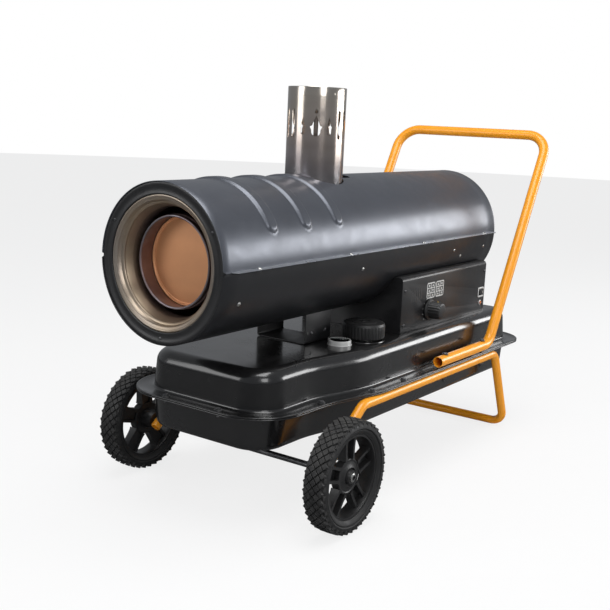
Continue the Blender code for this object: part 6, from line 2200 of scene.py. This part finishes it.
# ====================================================================== frame and handle
@dataclass
class Tubework(SubAssembly):
    """The orange frame under the tank, the handle over it, and the bolts through both."""

    wall: float = 0.0015
    front_bend_y: float = -0.245
    rear_bend_y: float = 0.360
    handle_bend_y: float = 0.318
    foot_bend: float = 0.035
    top_bend: float = 0.056
    low_bend: float = 0.040

    def __post_init__(self) -> None:
        """Reads the tubes' places."""
        self.frame_span, self.handle_span = Span.of("frame_tube"), Span.of("handle_tube")
        self.wheel = Span.of("tyre_right").centre
        self.bolt = Span.of("handle_bolt_right_rear")
        self.half = self.bolt.centre.x

    def both_sides(self, side: Sequence[Flat]) -> list[Point]:
        """The corners of a bent tube: one side's (y, z) corners, then their mirror image back again."""
        return [(self.half, y, z) for y, z in side] + [(-self.half, y, z) for y, z in reversed(side)]

    def frame(self) -> None:
        """The frame: from the axle up under the tank, back along the flange, and down to the foot bar."""
        span = self.frame_span
        radius = span.high.x - self.half
        run_z = span.high.z - radius
        foot = span.high.y - radius
        slope = Vector((0.0, self.wheel.y - self.front_bend_y, self.wheel.z - run_z)).normalized()
        end = Vector((0.0, self.wheel.y, self.wheel.z)) + slope * 0.016
        side = [(end.y, end.z), (self.front_bend_y, run_z), (self.rear_bend_y, run_z), (foot, radius)]
        path = rounded_path(self.both_sides(side), [self.foot_bend] * 6, 14)
        tube = Forge.swept("frame_bent_tube", path, radius, radius - self.wall, 40, 0.0004)
        bore = Forge.rod("axle_cut", 0.0065, -0.26, 0.26, Axis.X, (0.0, self.wheel.y, self.wheel.z), 32)
        Forge.cut(tube, bore, crisp=40.0)
        self.fit(tube, Coat.ORANGE, "frame_tube")

    def handle(self) -> None:
        """The handle: two straight feet along the flange, the rising sides and the cross-bar, ends open."""
        span = self.handle_span
        radius = span.high.x - self.half
        low_z = span.low.z + radius
        top_y, top_z = span.high.y - radius, span.high.z - radius
        side = [(span.low.y, low_z), (self.handle_bend_y, low_z), (top_y, top_z)]
        bends = [self.low_bend, self.top_bend, self.top_bend, self.low_bend]
        path = rounded_path(self.both_sides(side), bends, 18)
        self.fit(Forge.swept("handle_bent_tube", path, radius, radius - self.wall, 40, 0.0004), Coat.ORANGE,
                 "handle_tube")

    def bolts(self) -> None:
        """The four bolts through handle, flange and frame: domed head, shank, washer and nut."""
        for side in Side:
            for place in ("front", "rear"):
                node = f"handle_bolt_{side.label}_{place}"
                span = Span.of(node)
                x, y = span.centre.x, span.centre.y
                top = span.high.z - 0.004
                shank = 0.003
                head = 0.0058
                profile = [(0.0, span.low.z), (0.0022, span.low.z), (shank, span.low.z + 0.0008),
                           (shank, top)]
                profile += [(head * 1.25, top), (head * 1.25, top + 0.0006), (head, top + 0.0007),
                            (head, top + 0.0014)]
                profile += [(head * cos(radians(t)), top + 0.0014 + 0.0026 * sin(radians(t))) for t in (22,
                                                                                                        44,
                                                                                                        64)]
                profile.append((0.0, span.high.z))
                bolt = Forge.turned(f"clamp_bolt_{side.label}_{place}", profile, Axis.Z, (x, y, 0.0), 48)
                self.fit(bolt, Coat.DARK_STEEL, node)
                frame_low = self.frame_span.high.z - 2 * (self.frame_span.high.x - self.half)
                self.screw(f"clamp_nut_{side.label}_{place}", (x, y, frame_low + 0.0002), (0, 0, -1), 0.0050,
                           0.0050, Drive.HEX, Coat.DARK_STEEL, washer=0.0075)

    def build(self) -> None:
        """Builds the tubework."""
        self.frame()
        self.handle()
        self.bolts()


# ====================================================================== wheels
@dataclass
class Wheel(SubAssembly):
    """One moulded wheel with five pairs of spokes, its block-tread tyre, and the keeper on the axle."""

    side: Side = Side.RIGHT
    spokes: int = 5
    spoke: float = 0.0058
    blocks: int = 40
    row_pitch: float = 0.165
    groove: float = 0.16
    block_height: float = 0.0034
    hub: float = 0.020
    hub_disc: float = 0.034
    spoke_offset: float = 0.0115
    spoke_spread: float = 0.0029
    tyre_thickness: float = 0.027

    def __post_init__(self) -> None:
        """Reads the wheel's place."""
        self.body = f"wheel_{self.side.label}"
        tyre = Span.of(f"tyre_{self.side.label}")
        self.centre = tyre.centre
        self.radius = tyre.size.z / 2
        self.width = tyre.size.x
        self.wheel = Span.of(f"wheel_{self.side.label}")
        self.rim = self.radius - self.tyre_thickness
        self.out = self.side.value
        self.outer_x = self.centre.x + self.out * self.width / 2
        self.inner_x = self.centre.x - self.out * self.width / 2

    def at(self, share: float) -> float:
        """The x at a share of the width, from the inner face to the outer face."""
        return self.inner_x + (self.outer_x - self.inner_x) * share

    def tyre(self) -> None:
        """The carcass: sidewalls with a raised ring, round shoulders and the floor of the tread."""
        floor = self.radius - self.block_height
        low = self.rim - 0.0006
        profile = [(low, self.at(0.14)), (low + 0.003, self.at(0.10)), (low + 0.006, self.at(0.055))]
        profile += [(low + 0.0085, self.at(0.045)), (low + 0.0092, self.at(0.062)),
                    (low + 0.0104, self.at(0.062))]
        profile += [(low + 0.0112, self.at(0.030)), (floor - 0.0115, self.at(0.012)),
                    (floor - 0.0085, self.at(0.022))]
        profile += [(floor - 0.0050, self.at(0.055)), (floor - 0.0020, self.at(0.12)),
                    (floor - 0.0006, self.at(0.24))]
        profile.append((floor, self.at(0.42)))
        mirror = [(radius, self.at(1.0) + self.at(0.0) - x) for radius, x in reversed(profile)]
        tyre = Forge.turned(f"tyre_carcass_{self.side.label}", profile + mirror, Axis.X,
                            (0.0, self.centre.y, self.centre.z), 128, 30.0)
        self.fit(tyre, Coat.RUBBER, f"tyre_{self.side.label}")

    def block(self, name: str, angle: float, share: float, length: float, wide: float,
              drop: float = 0.0) -> bpy.types.Object:
        """One diamond of the tread, with a narrower top.

        Args:
            name: its name.
            angle: where round the tyre, in radians.
            share: where across the tyre, 0 to 1.
            length: its length round the tyre.
            wide: its width across the tyre.
            drop: how far its top lies below the tyre's full radius.

        Returns:
            The block.
        """
        top = self.radius - drop
        rings = []
        for reach, size in ((top - self.block_height - 0.0012, 1.12), (top - 0.0004, 0.98),
                            (top - 0.0001, 0.90)):
            ring = []
            for u, v in ((-0.5, 0.0), (-0.06, -0.44), (0.06, -0.44), (0.5, 0.0), (0.06, 0.44), (-0.06, 0.44)):
                along = u * length * size
                turn = angle + along / self.radius
                x = self.at(share) + v * wide * size
                ring.append((x, self.centre.y + reach * cos(turn), self.centre.z + reach * sin(turn)))
            rings.append(ring)
        return Forge.lofted(name, rings, 20.0)

    def tread(self) -> None:
        """Five staggered rows of diamonds, and shoulder lugs that reach down the sidewall."""
        parts = []
        step = tau / self.blocks
        length = step * self.radius * (1.0 - self.groove)
        wide = 2 * self.row_pitch * self.width * (1.0 - self.groove)
        for i in range(self.blocks):
            angle = i * step + 0.01
            for row in range(-2, 3):
                turn = angle + (step / 2 if row % 2 else 0.0)
                parts.append(self.block(f"block_{row}_{i}", turn, 0.5 + row * self.row_pitch, length, wide,
                                        (0.0, 0.0002, 0.0012)[abs(row)]))
            for edge, label in ((0.045, "f"), (0.955, "g")):
                reach = self.radius - 0.0090
                turn = angle + step / 2
                rings = []
                for out, half in ((0.0, 0.0052), (1.0, 0.0044)):
                    x = self.at(edge) + (1 if edge > 0.5 else -1) * self.out * (out * 0.0022 - 0.0012)
                    ring = []
                    for du, dr in ((-half, -0.0035), (half, -0.0035), (half, 0.0040), (-half, 0.0040)):
                        spot = turn + du / self.radius
                        push = 0.0010 if dr > 0 else 0.0
                        ring.append((x - (1 if edge > 0.5 else -1) * self.out * push,
                                     self.centre.y + (reach + dr) * cos(spot),
                                     self.centre.z + (reach + dr) * sin(spot)))
                    rings.append(ring)
                parts.append(Forge.lofted(f"lug_{label}_{i}", rings, 20.0))
        self.fit(Forge.joined(f"tyre_tread_{self.side.label}", *parts, crisp=20.0), Coat.RUBBER)

    def hub_and_rim(self) -> None:
        """The moulding: dished rim, hub with a stepped boss, and five pairs of ribs that widen to the rim."""
        centre = (0.0, self.centre.y, self.centre.z)
        rim, wall = self.rim - 0.0003, 0.0045
        profile = [(rim - 0.0005, self.at(0.16)), (rim, self.at(0.18)), (rim, self.at(0.82)),
                   (rim - 0.0005, self.at(0.84))]
        profile += [(rim - wall + 0.0005, self.at(0.84)), (rim - wall, self.at(0.82)),
                    (rim - wall - 0.001, self.at(0.70))]
        profile += [(rim - wall - 0.0018, self.at(0.5)), (rim - wall - 0.001, self.at(0.30)),
                    (rim - wall, self.at(0.18))]
        profile.append((rim - wall + 0.0005, self.at(0.16)))
        parts = [Forge.turned("rim", profile, Axis.X, centre, 128, 30.0)]
        low, high = (self.wheel.low.x, self.wheel.high.x)
        inner, outer = (low, high) if self.out > 0 else (high, low)
        bore = 0.0066
        step = self.out * 0.001
        boss = [(bore, inner), (self.hub - 0.004, inner), (self.hub - 0.002, inner + 6 * step),
                (self.hub, inner + 12 * step)]
        boss += [(self.hub, outer - 9 * step), (self.hub - 0.0012, outer - 7.6 * step),
                 (self.hub - 0.0055, outer - 7 * step)]
        boss += [(self.hub - 0.0066, outer - 1.2 * step), (self.hub - 0.0076, outer), (bore, outer)]
        parts.append(Forge.turned("hub", boss, Axis.X, centre, 64, 30.0))
        near, far = self.at(0.30), self.at(0.70)
        face, back = self.at(0.69), self.at(0.31)
        plate = [(self.hub - 0.002, back), (self.hub_disc - 0.001, back), (self.hub_disc, back + step)]
        plate += [(self.hub_disc, face - 2 * step), (self.hub_disc - 0.0012, face - step)]
        plate += [(self.hub_disc - 0.0035, face - step), (self.hub_disc - 0.005, face - 2 * step)]
        plate += [(self.hub + 0.003, face - 1.2 * step), (self.hub - 0.002, face + 2 * step)]
        parts.append(Forge.turned("hub_disc", plate, Axis.X, centre, 96, 30.0))
        for i in range(self.spokes):
            angle = tau * i / self.spokes + pi / 2
            out, across = (cos(angle), sin(angle)), (-sin(angle), cos(angle))
            for twin in (-1, 1):
                rings = []
                for share in (0.0, 0.12, 0.3, 0.5, 0.7, 0.88, 1.0):
                    reach = self.hub_disc - 0.002 + (rim - wall + 0.002 - self.hub_disc) * share
                    flare = 1.0 + 0.75 * max(0.0, (share - 0.8) / 0.2) ** 2 + 0.5 * max(0.0,
                                                                                        (0.15 - share) / 0.15)
                    offset = twin * (self.spoke_offset + self.spoke_spread * share)
                    half = self.spoke / 2 * flare
                    depth = 0.86 + 0.14 * (2 * abs(share - 0.5)) ** 2
                    ring = []
                    for u, v in rounded_box((-half, -0.5 * depth), (half, 0.5 * depth), 0.0012, 3):
                        spread = offset + u
                        x = (near + far) / 2 + (far - near) * (v if abs(v) < 1 else 0.0)
                        ring.append((x, centre[1] + reach * out[0] + spread * across[0],
                                     centre[2] + reach * out[1] + spread * across[1]))
                    rings.append(ring)
                parts.append(Forge.lofted(f"spoke_{i}_{twin}", rings, 30.0))
            rings = []
            for share in (0.02, 0.5, 0.99):
                reach = self.hub_disc - 0.002 + (rim - wall + 0.001 - self.hub_disc) * share
                half = self.spoke_offset + self.spoke_spread * share
                middle = self.at(0.42)
                ring = []
                for spread, x in ((-half, middle - 0.001), (half, middle - 0.001), (half, middle + 0.001),
                                  (-half, middle + 0.001)):
                    ring.append((x, centre[1] + reach * out[0] + spread * across[0],
                                 centre[2] + reach * out[1] + spread * across[1]))
                rings.append(ring)
            parts.append(Forge.lofted(f"web_{i}", rings, 30.0))
        self.fit(Forge.joined(f"wheel_moulding_{self.side.label}", *parts, crisp=30.0), Coat.MOULDED,
                 f"wheel_{self.side.label}")

    def keeper(self) -> None:
        """The push-on keeper and its bright cap on the axle's end, fixed to the axle."""
        span = Span.of(f"axle_keeper_{self.side.label}")
        centre = (0.0, self.centre.y, self.centre.z)
        inner, outer = (span.low.x, span.high.x) if self.out > 0 else (span.high.x, span.low.x)
        axle = Span.of("axle")
        tip = axle.high.x if self.out > 0 else axle.low.x
        step = self.out * 0.001
        disc = [(0.0063, inner), (0.0108, inner), (0.0110, inner + 0.4 * step), (0.0098, outer - 0.4 * step),
                (0.0085, outer), (0.0063, outer)]
        self.fit(Forge.turned(f"axle_washer_{self.side.label}", disc, Axis.X, centre, 64), Coat.ZINC,
                 f"axle_keeper_{self.side.label}", body="heater")
        cap = [(0.0060, outer + 0.1 * step), (0.0082, outer + 0.1 * step), (0.0084, tip - 2.5 * step)]
        cap += [(0.0080, tip - 1.2 * step), (0.0066, tip - 0.3 * step), (0.0035, tip), (0.0, tip),
                (0.0, tip - 0.4 * step),
                (0.0060, tip - 1.0 * step)]
        self.fit(Forge.turned(f"axle_cap_{self.side.label}", cap, Axis.X, centre, 64), Coat.ZINC,
                 body="heater")

    def build(self) -> None:
        """Builds the wheel."""
        self.tyre()
        self.tread()
        self.hub_and_rim()
        self.keeper()


@dataclass
class AxleBar(SubAssembly):
    """The plain steel axle through both wheels and the frame's ends."""

    def build(self) -> None:
        """Builds the axle."""
        span = Span.of("axle")
        radius = span.size.z / 2
        centre = (0.0, span.centre.y, span.centre.z)
        low, high = span.low.x, span.high.x
        profile = [(0.0, low), (radius - 0.0008, low), (radius, low + 0.0008), (radius, high - 0.0008),
                   (radius - 0.0008, high), (0.0, high)]
        self.fit(Forge.turned("axle_bar", profile, Axis.X, centre, 48), Coat.DARK_STEEL, "axle")


# ====================================================================== rear end
@dataclass
class RearEnd(SubAssembly):
    """The guard at the back, and the motor, fan, pump and burner behind it."""

    wires: int = 11
    wire: float = 0.0013

    def __post_init__(self) -> None:
        """Reads the guard's place."""
        self.grille = Span.of("rear_grille")
        drum = Span.of("exchanger_drum")
        self.centre = (0.0, 0.0, drum.centre.z)
        self.radius = self.grille.size.x / 2

    def guard(self) -> None:
        """The guard: concentric wires on radial stays, a rim band, and a plain round plate in the middle."""
        y = self.grille.centre.y
        parts = []
        inner = 0.030
        for i in range(self.wires):
            radius = inner + (self.radius - 0.006 - inner) * (i + 1) / (self.wires + 0.2)
            parts.append(Forge.ring_wire(f"wire_{i}", radius, self.wire, Axis.Y, (0.0, y, self.centre[2]), 96,
                                         8))
        for i in range(8):
            angle = tau * i / 8 + pi / 8
            ends = [Vector((reach * cos(angle), y - 0.0008, self.centre[2] + reach * sin(angle)))
                    for reach in (inner - 0.004, self.radius - 0.003)]
            parts.append(Forge.swept(f"stay_{i}", ends, 0.0015, sides=10))
        plate = [(0.0, y - 0.0006), (inner, y - 0.0006), (inner + 0.001, y), (inner - 0.001, y + 0.0012),
                 (inner * 0.7, y + 0.0014), (0.0, y + 0.0014)]
        parts.append(Forge.turned("plate", plate, Axis.Y, (0.0, 0.0, self.centre[2]), 64))
        band = [(self.radius - 0.005, y - 0.0014), (self.radius, y - 0.0014), (self.radius, y + 0.0012),
                (self.radius - 0.0006, y + 0.0015), (self.radius - 0.005, y + 0.0012)]
        parts.append(Forge.turned("band", band, Axis.Y, (0.0, 0.0, self.centre[2]), 144))
        self.fit(Forge.joined("rear_guard", *parts, crisp=40.0), Coat.SATIN_BLACK, "rear_grille")
        rear = Span.of("upper_shell").high.y
        hem_radius = 0.144 - 0.0012
        hem = arc((hem_radius - 0.0002, rear - 0.0024), 0.0016, 0, 345, 23)
        self.fit(Forge.turned("rear_hem", hem, Axis.Y, self.centre, 144, 60.0), Coat.GUNMETAL)
        for i in range(4):
            angle = tau * i / 4 + pi / 4
            reach = self.radius - 0.011
            place = (reach * cos(angle), y + 0.0012, self.centre[2] + reach * sin(angle))
            self.screw(f"guard_screw_{i}", place, (0, 1, 0), 0.0038, 0.0024, spin=50.0 * i, washer=0.0062)

    def motor(self) -> None:
        """The motor: ribbed can with two end bells, its shaft and bracket, and the fuel pump with its stub and
        screws.
        """
        span = Span.of("fan_motor")
        low, high = span.low.y, span.high.y
        radius = span.size.x / 2
        profile: list[Flat] = [(0.0054, low), (radius * 0.45, low), (radius * 0.8, low + 0.004),
                               (radius, low + 0.012)]
        profile += [(radius, low + 0.026), (radius - 0.0014, low + 0.027), (radius - 0.0014, high - 0.027)]
        profile += [(radius, high - 0.026), (radius, high - 0.012), (radius * 0.8, high - 0.003),
                    (radius * 0.5, high)]
        profile += [(0.0, high), (0.0, high - 0.010), (0.0054, high - 0.010)]
        mid_low, mid_high = low + 0.0265, high - 0.0265
        ribbed = Forge.turned("motor_can", profile, Axis.Y, self.centre, 180, 30.0,
                              lambda out, along, angle: out - (0.0022 * (0.5 + 0.5 * cos(45 * angle)) ** 2
                                                               if mid_low < along < mid_high else 0.0))
        self.fit(ribbed, Coat.CAST, "fan_motor")
        self.dress(Coat.ZINC, "motor_shaft", "motor_bracket")
        pump = Span.of("fuel_pump")
        top, size = pump.high.y, 0.032
        body = [(0.0, pump.low.y), (size, pump.low.y), (size, top - 0.004), (size - 0.003, top - 0.001)]
        body += [(size * 0.55, top - 0.001), (size * 0.5, top), (0.0, top)]
        shape = Forge.turned("pump_body", body, Axis.Y, self.centre, 96)
        self.fit(shape, Coat.CAST, "fuel_pump")
        reach = pump.low.x + 0.0004
        stub = Forge.turned("pump_stub", [(0.0, reach), (0.0046, reach), (0.0056, reach + 0.002),
                                          (0.0056, -0.030),
                                         (0.0, -0.030)], Axis.X, (0.0, pump.centre.y, self.centre[2]), 32)
        self.fit(stub, Coat.BRASS)
        for i in range(4):
            angle = tau * i / 4 + pi / 4
            place = (0.024 * cos(angle), top - 0.001, self.centre[2] + 0.024 * sin(angle))
            self.screw(f"pump_screw_{i}", place, (0, 1, 0), 0.0032, 0.0022, Drive.HEX, Coat.ZINC)

    def fan(self) -> None:
        """The fan: five swept, twisted blades on a moulded hub, all one moulding."""
        span = Span.of("fan")
        y, half = span.centre.y, span.size.y / 2
        radius, hub = 0.112, 0.026
        hub_shape = [(0.0054, y - half), (hub - 0.006, y - half), (hub - 0.001, y - half + 0.003),
                     (hub, y - half + 0.007),
                     (hub, y + half - 0.001), (hub - 0.001, y + half), (hub - 0.005, y + half),
                     (hub - 0.005, y - half + 0.010), (0.0095, y - half + 0.010), (0.0095, y + half),
                     (0.0054, y + half)]
        parts = [Forge.turned("hub", hub_shape, Axis.Y, (0.0, 0.0, self.centre[2]), 72)]
        for i in range(5):
            rings = []
            for k in range(13):
                share = k / 12
                reach = 0.9 * hub + (radius - 0.9 * hub) * share
                sweep = 0.32 * share**1.6
                angle = tau * i / 5 + sweep
                lean = radians(38) * (0.92 - 0.34 * share)
                width = 0.030 + 0.036 * sin(min(1.0, 0.15 + share) * pi * 0.55)
                width *= 1.0 if share < 0.9 else 1.0 - 2.2 * (share - 0.9)
                limit = 0.88 * half / (sin(lean) * width / 2)
                width *= min(1.0, limit)
                ring = []
                for s, side in [(s / 8, 1) for s in range(9)] + [(s / 8, -1) for s in range(7, 0, -1)]:
                    across = (s - 0.5) * width
                    camber = 0.06 * width * (1 - (2 * s - 1) ** 2)
                    thick = side * 0.0011 * (1 - 0.75 * abs(2 * s - 1) ** 3)
                    u = across * cos(lean) - (camber + thick) * sin(lean)
                    v = across * sin(lean) + (camber + thick) * cos(lean)
                    ring.append((reach * cos(angle) - u * sin(angle), y + v,
                                 self.centre[2] + reach * sin(angle) + u * cos(angle)))
                rings.append(ring)
            parts.append(Forge.lofted(f"blade_{i}", rings, 40.0))
        self.fit(Forge.joined("fan_moulding", *parts, crisp=32.0), Coat.FAN_PLASTIC, "fan", body="fan")

    def build(self) -> None:
        """Builds the rear end."""
        self.guard()
        self.motor()
        self.fan()
        self.dress(Coat.CAST, "burner_tube", "air_diffuser")
        self.dress(Coat.BRASS, "fuel_nozzle")
        self.dress(Coat.CERAMIC, "electrode_left", "electrode_right")


# ====================================================================== studio
@dataclass(frozen=True)
class Lamp:
    """One soft light of the studio."""

    name: str
    place: Point
    aim: Point
    wide: float
    tall: float
    watts: float
    colour: Colour = (1.0, 1.0, 1.0)


@dataclass
class Studio:
    """The pale floor, the lights, the backdrop colour and the camera."""

    azimuth: float = 35.07
    elevation: float = 10.891
    roll: float = 2.625
    distance: float = 2.0853
    lens: float = 57.52
    sideways: float = -0.0120
    target: Point = (0.0, -0.132, 0.3599)
    lamps: tuple[Lamp, ...] = (
        Lamp("top_softbox", (0.3, -0.5, 2.4), (0.0, 0.0, 0.4), 1.6, 1.6, 42.0),
        Lamp("front_left_softbox", (-1.4, -2.4, 1.3), (0.0, -0.2, 0.4), 1.2, 1.4, 15.0),
        Lamp("front_right_softbox", (2.4, -1.6, 1.6), (0.0, 0.0, 0.3), 1.0, 1.4, 20.0),
        Lamp("rear_right_strip", (2.0, 2.5, 1.05), (0.0, 0.0, 0.55), 2.2, 0.9, 46.0),
    )
    backdrop: float = 1.0
    ambient: float = 0.30
    floor_glow: float = 0.80
    floor_mirror: float = 0.80

    def camera(self) -> None:
        """Places the camera."""
        azimuth, elevation, roll = radians(self.azimuth), radians(self.elevation), radians(self.roll)
        back = Vector((sin(azimuth) * cos(elevation), -cos(azimuth) * cos(elevation), sin(elevation)))
        right = Vector((cos(azimuth), sin(azimuth), 0.0))
        up = back.cross(right)
        across = right * cos(roll) + up * sin(roll)
        upward = up * cos(roll) - right * sin(roll)
        data = bpy.data.cameras.new("studio_camera")
        data.lens = self.lens
        data.sensor_width = 36.0
        data.clip_start, data.clip_end = 0.05, 60.0
        obj = bpy.data.objects.new("studio_camera", data)
        bpy.context.scene.collection.objects.link(obj)
        turn = Matrix((across, upward, back)).transposed().to_4x4()
        place = Vector(self.target) + right * self.sideways + back * self.distance
        obj.matrix_world = Matrix.Translation(place) @ turn
        bpy.context.scene.camera = obj

    def floor(self) -> None:
        """Lays the plain pale floor."""
        ground = Forge.rod("studio_floor", 14.0, -0.02, -0.0004, sides=96)
        ground.data.materials.append(self.paper())

    def paper(self) -> bpy.types.Material:
        """White sweep paper, lit through from below, that throws little light back at glossy things.

        Returns:
            The material.
        """
        finish = Finish("studio_paper", "black_paint", (0.80, 0.80, 0.80), 0.80, mottle=0.01,
                        grain_depth=0.00002)
        material = finish.material()
        graph = Graph(material.node_tree)
        paper = material.node_tree.nodes["Principled BSDF"]
        out = material.node_tree.nodes["Material Output"]
        ray = graph.add("LightPath")
        glow = graph.add("Emission", in_Color=(1.0, 1.0, 1.0, 1.0), in_Strength=1.0)
        dark = graph.add("BsdfDiffuse", in_Color=(0.05, 0.05, 0.05, 1.0))
        seen = graph.add("Math", operation="MULTIPLY")
        seen.inputs[1].default_value = self.floor_glow
        graph.link(ray.outputs["Is Camera Ray"], seen.inputs[0])
        thrown = graph.add("Math", operation="MULTIPLY")
        thrown.inputs[1].default_value = self.floor_mirror
        graph.link(ray.outputs["Is Glossy Ray"], thrown.inputs[0])
        first, second = graph.add("MixShader"), graph.add("MixShader")
        graph.link(seen.outputs[0], first.inputs[0])
        graph.link(paper.outputs[0], first.inputs[1])
        graph.link(glow.outputs[0], first.inputs[2])
        graph.link(thrown.outputs[0], second.inputs[0])
        graph.link(first.outputs[0], second.inputs[1])
        graph.link(dark.outputs[0], second.inputs[2])
        graph.link(second.outputs[0], out.inputs[0])
        return material

    def lights(self) -> None:
        """Hangs the softboxes and sets the room's light."""
        for lamp in self.lamps:
            data = bpy.data.lights.new(lamp.name, "AREA")
            data.shape = "RECTANGLE"
            data.size, data.size_y = lamp.wide, lamp.tall
            data.energy = lamp.watts
            data.color = lamp.colour
            obj = bpy.data.objects.new(lamp.name, data)
            bpy.context.scene.collection.objects.link(obj)
            aim = Vector(lamp.aim) - Vector(lamp.place)
            turn = aim.to_track_quat("-Z", "Y").to_matrix().to_4x4()
            obj.matrix_world = Matrix.Translation(Vector(lamp.place)) @ turn
        bpy.context.scene.view_settings.view_transform = "Standard"
        world = bpy.data.worlds.new("studio_room")
        bpy.context.scene.world = world
        world.use_nodes = True
        graph = Graph(world.node_tree)
        world.node_tree.nodes.clear()
        out = graph.add("OutputWorld")
        seen = graph.add("Background", in_Color=(1.0, 1.0, 1.0, 1.0), in_Strength=self.backdrop)
        room = graph.add("Background", in_Color=(0.92, 0.95, 1.0, 1.0), in_Strength=self.ambient)
        ray = graph.add("LightPath")
        mixer = graph.add("MixShader")
        graph.link(ray.outputs["Is Camera Ray"], mixer.inputs[0])
        graph.link(room.outputs[0], mixer.inputs[1])
        graph.link(seen.outputs[0], mixer.inputs[2])
        graph.link(mixer.outputs[0], out.inputs[0])

    def build(self) -> None:
        """Sets up the studio."""
        self.camera()
        self.floor()
        self.lights()


def main() -> None:
    """Builds the studio, then the heater piece by piece, logging each piece's face count."""
    logging.basicConfig(level=logging.INFO, format="%(name)s: %(message)s")
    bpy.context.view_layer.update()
    Studio().build()
    makers: list[SubAssembly] = [Barrel(), Outlet(), Flue(), Tank(), TankFittings(), Saddle(), ControlBox(),
                                 Tubework(), Wheel(side=Side.LEFT), Wheel(side=Side.RIGHT), AxleBar(),
                                 RearEnd()]
    for maker in makers:
        maker.build()
        for piece in maker.made:
            LOG.info("%s: %s, %d faces", type(maker).__name__, piece.name, len(piece.data.polygons))


if __name__ == "__main__":
    main()
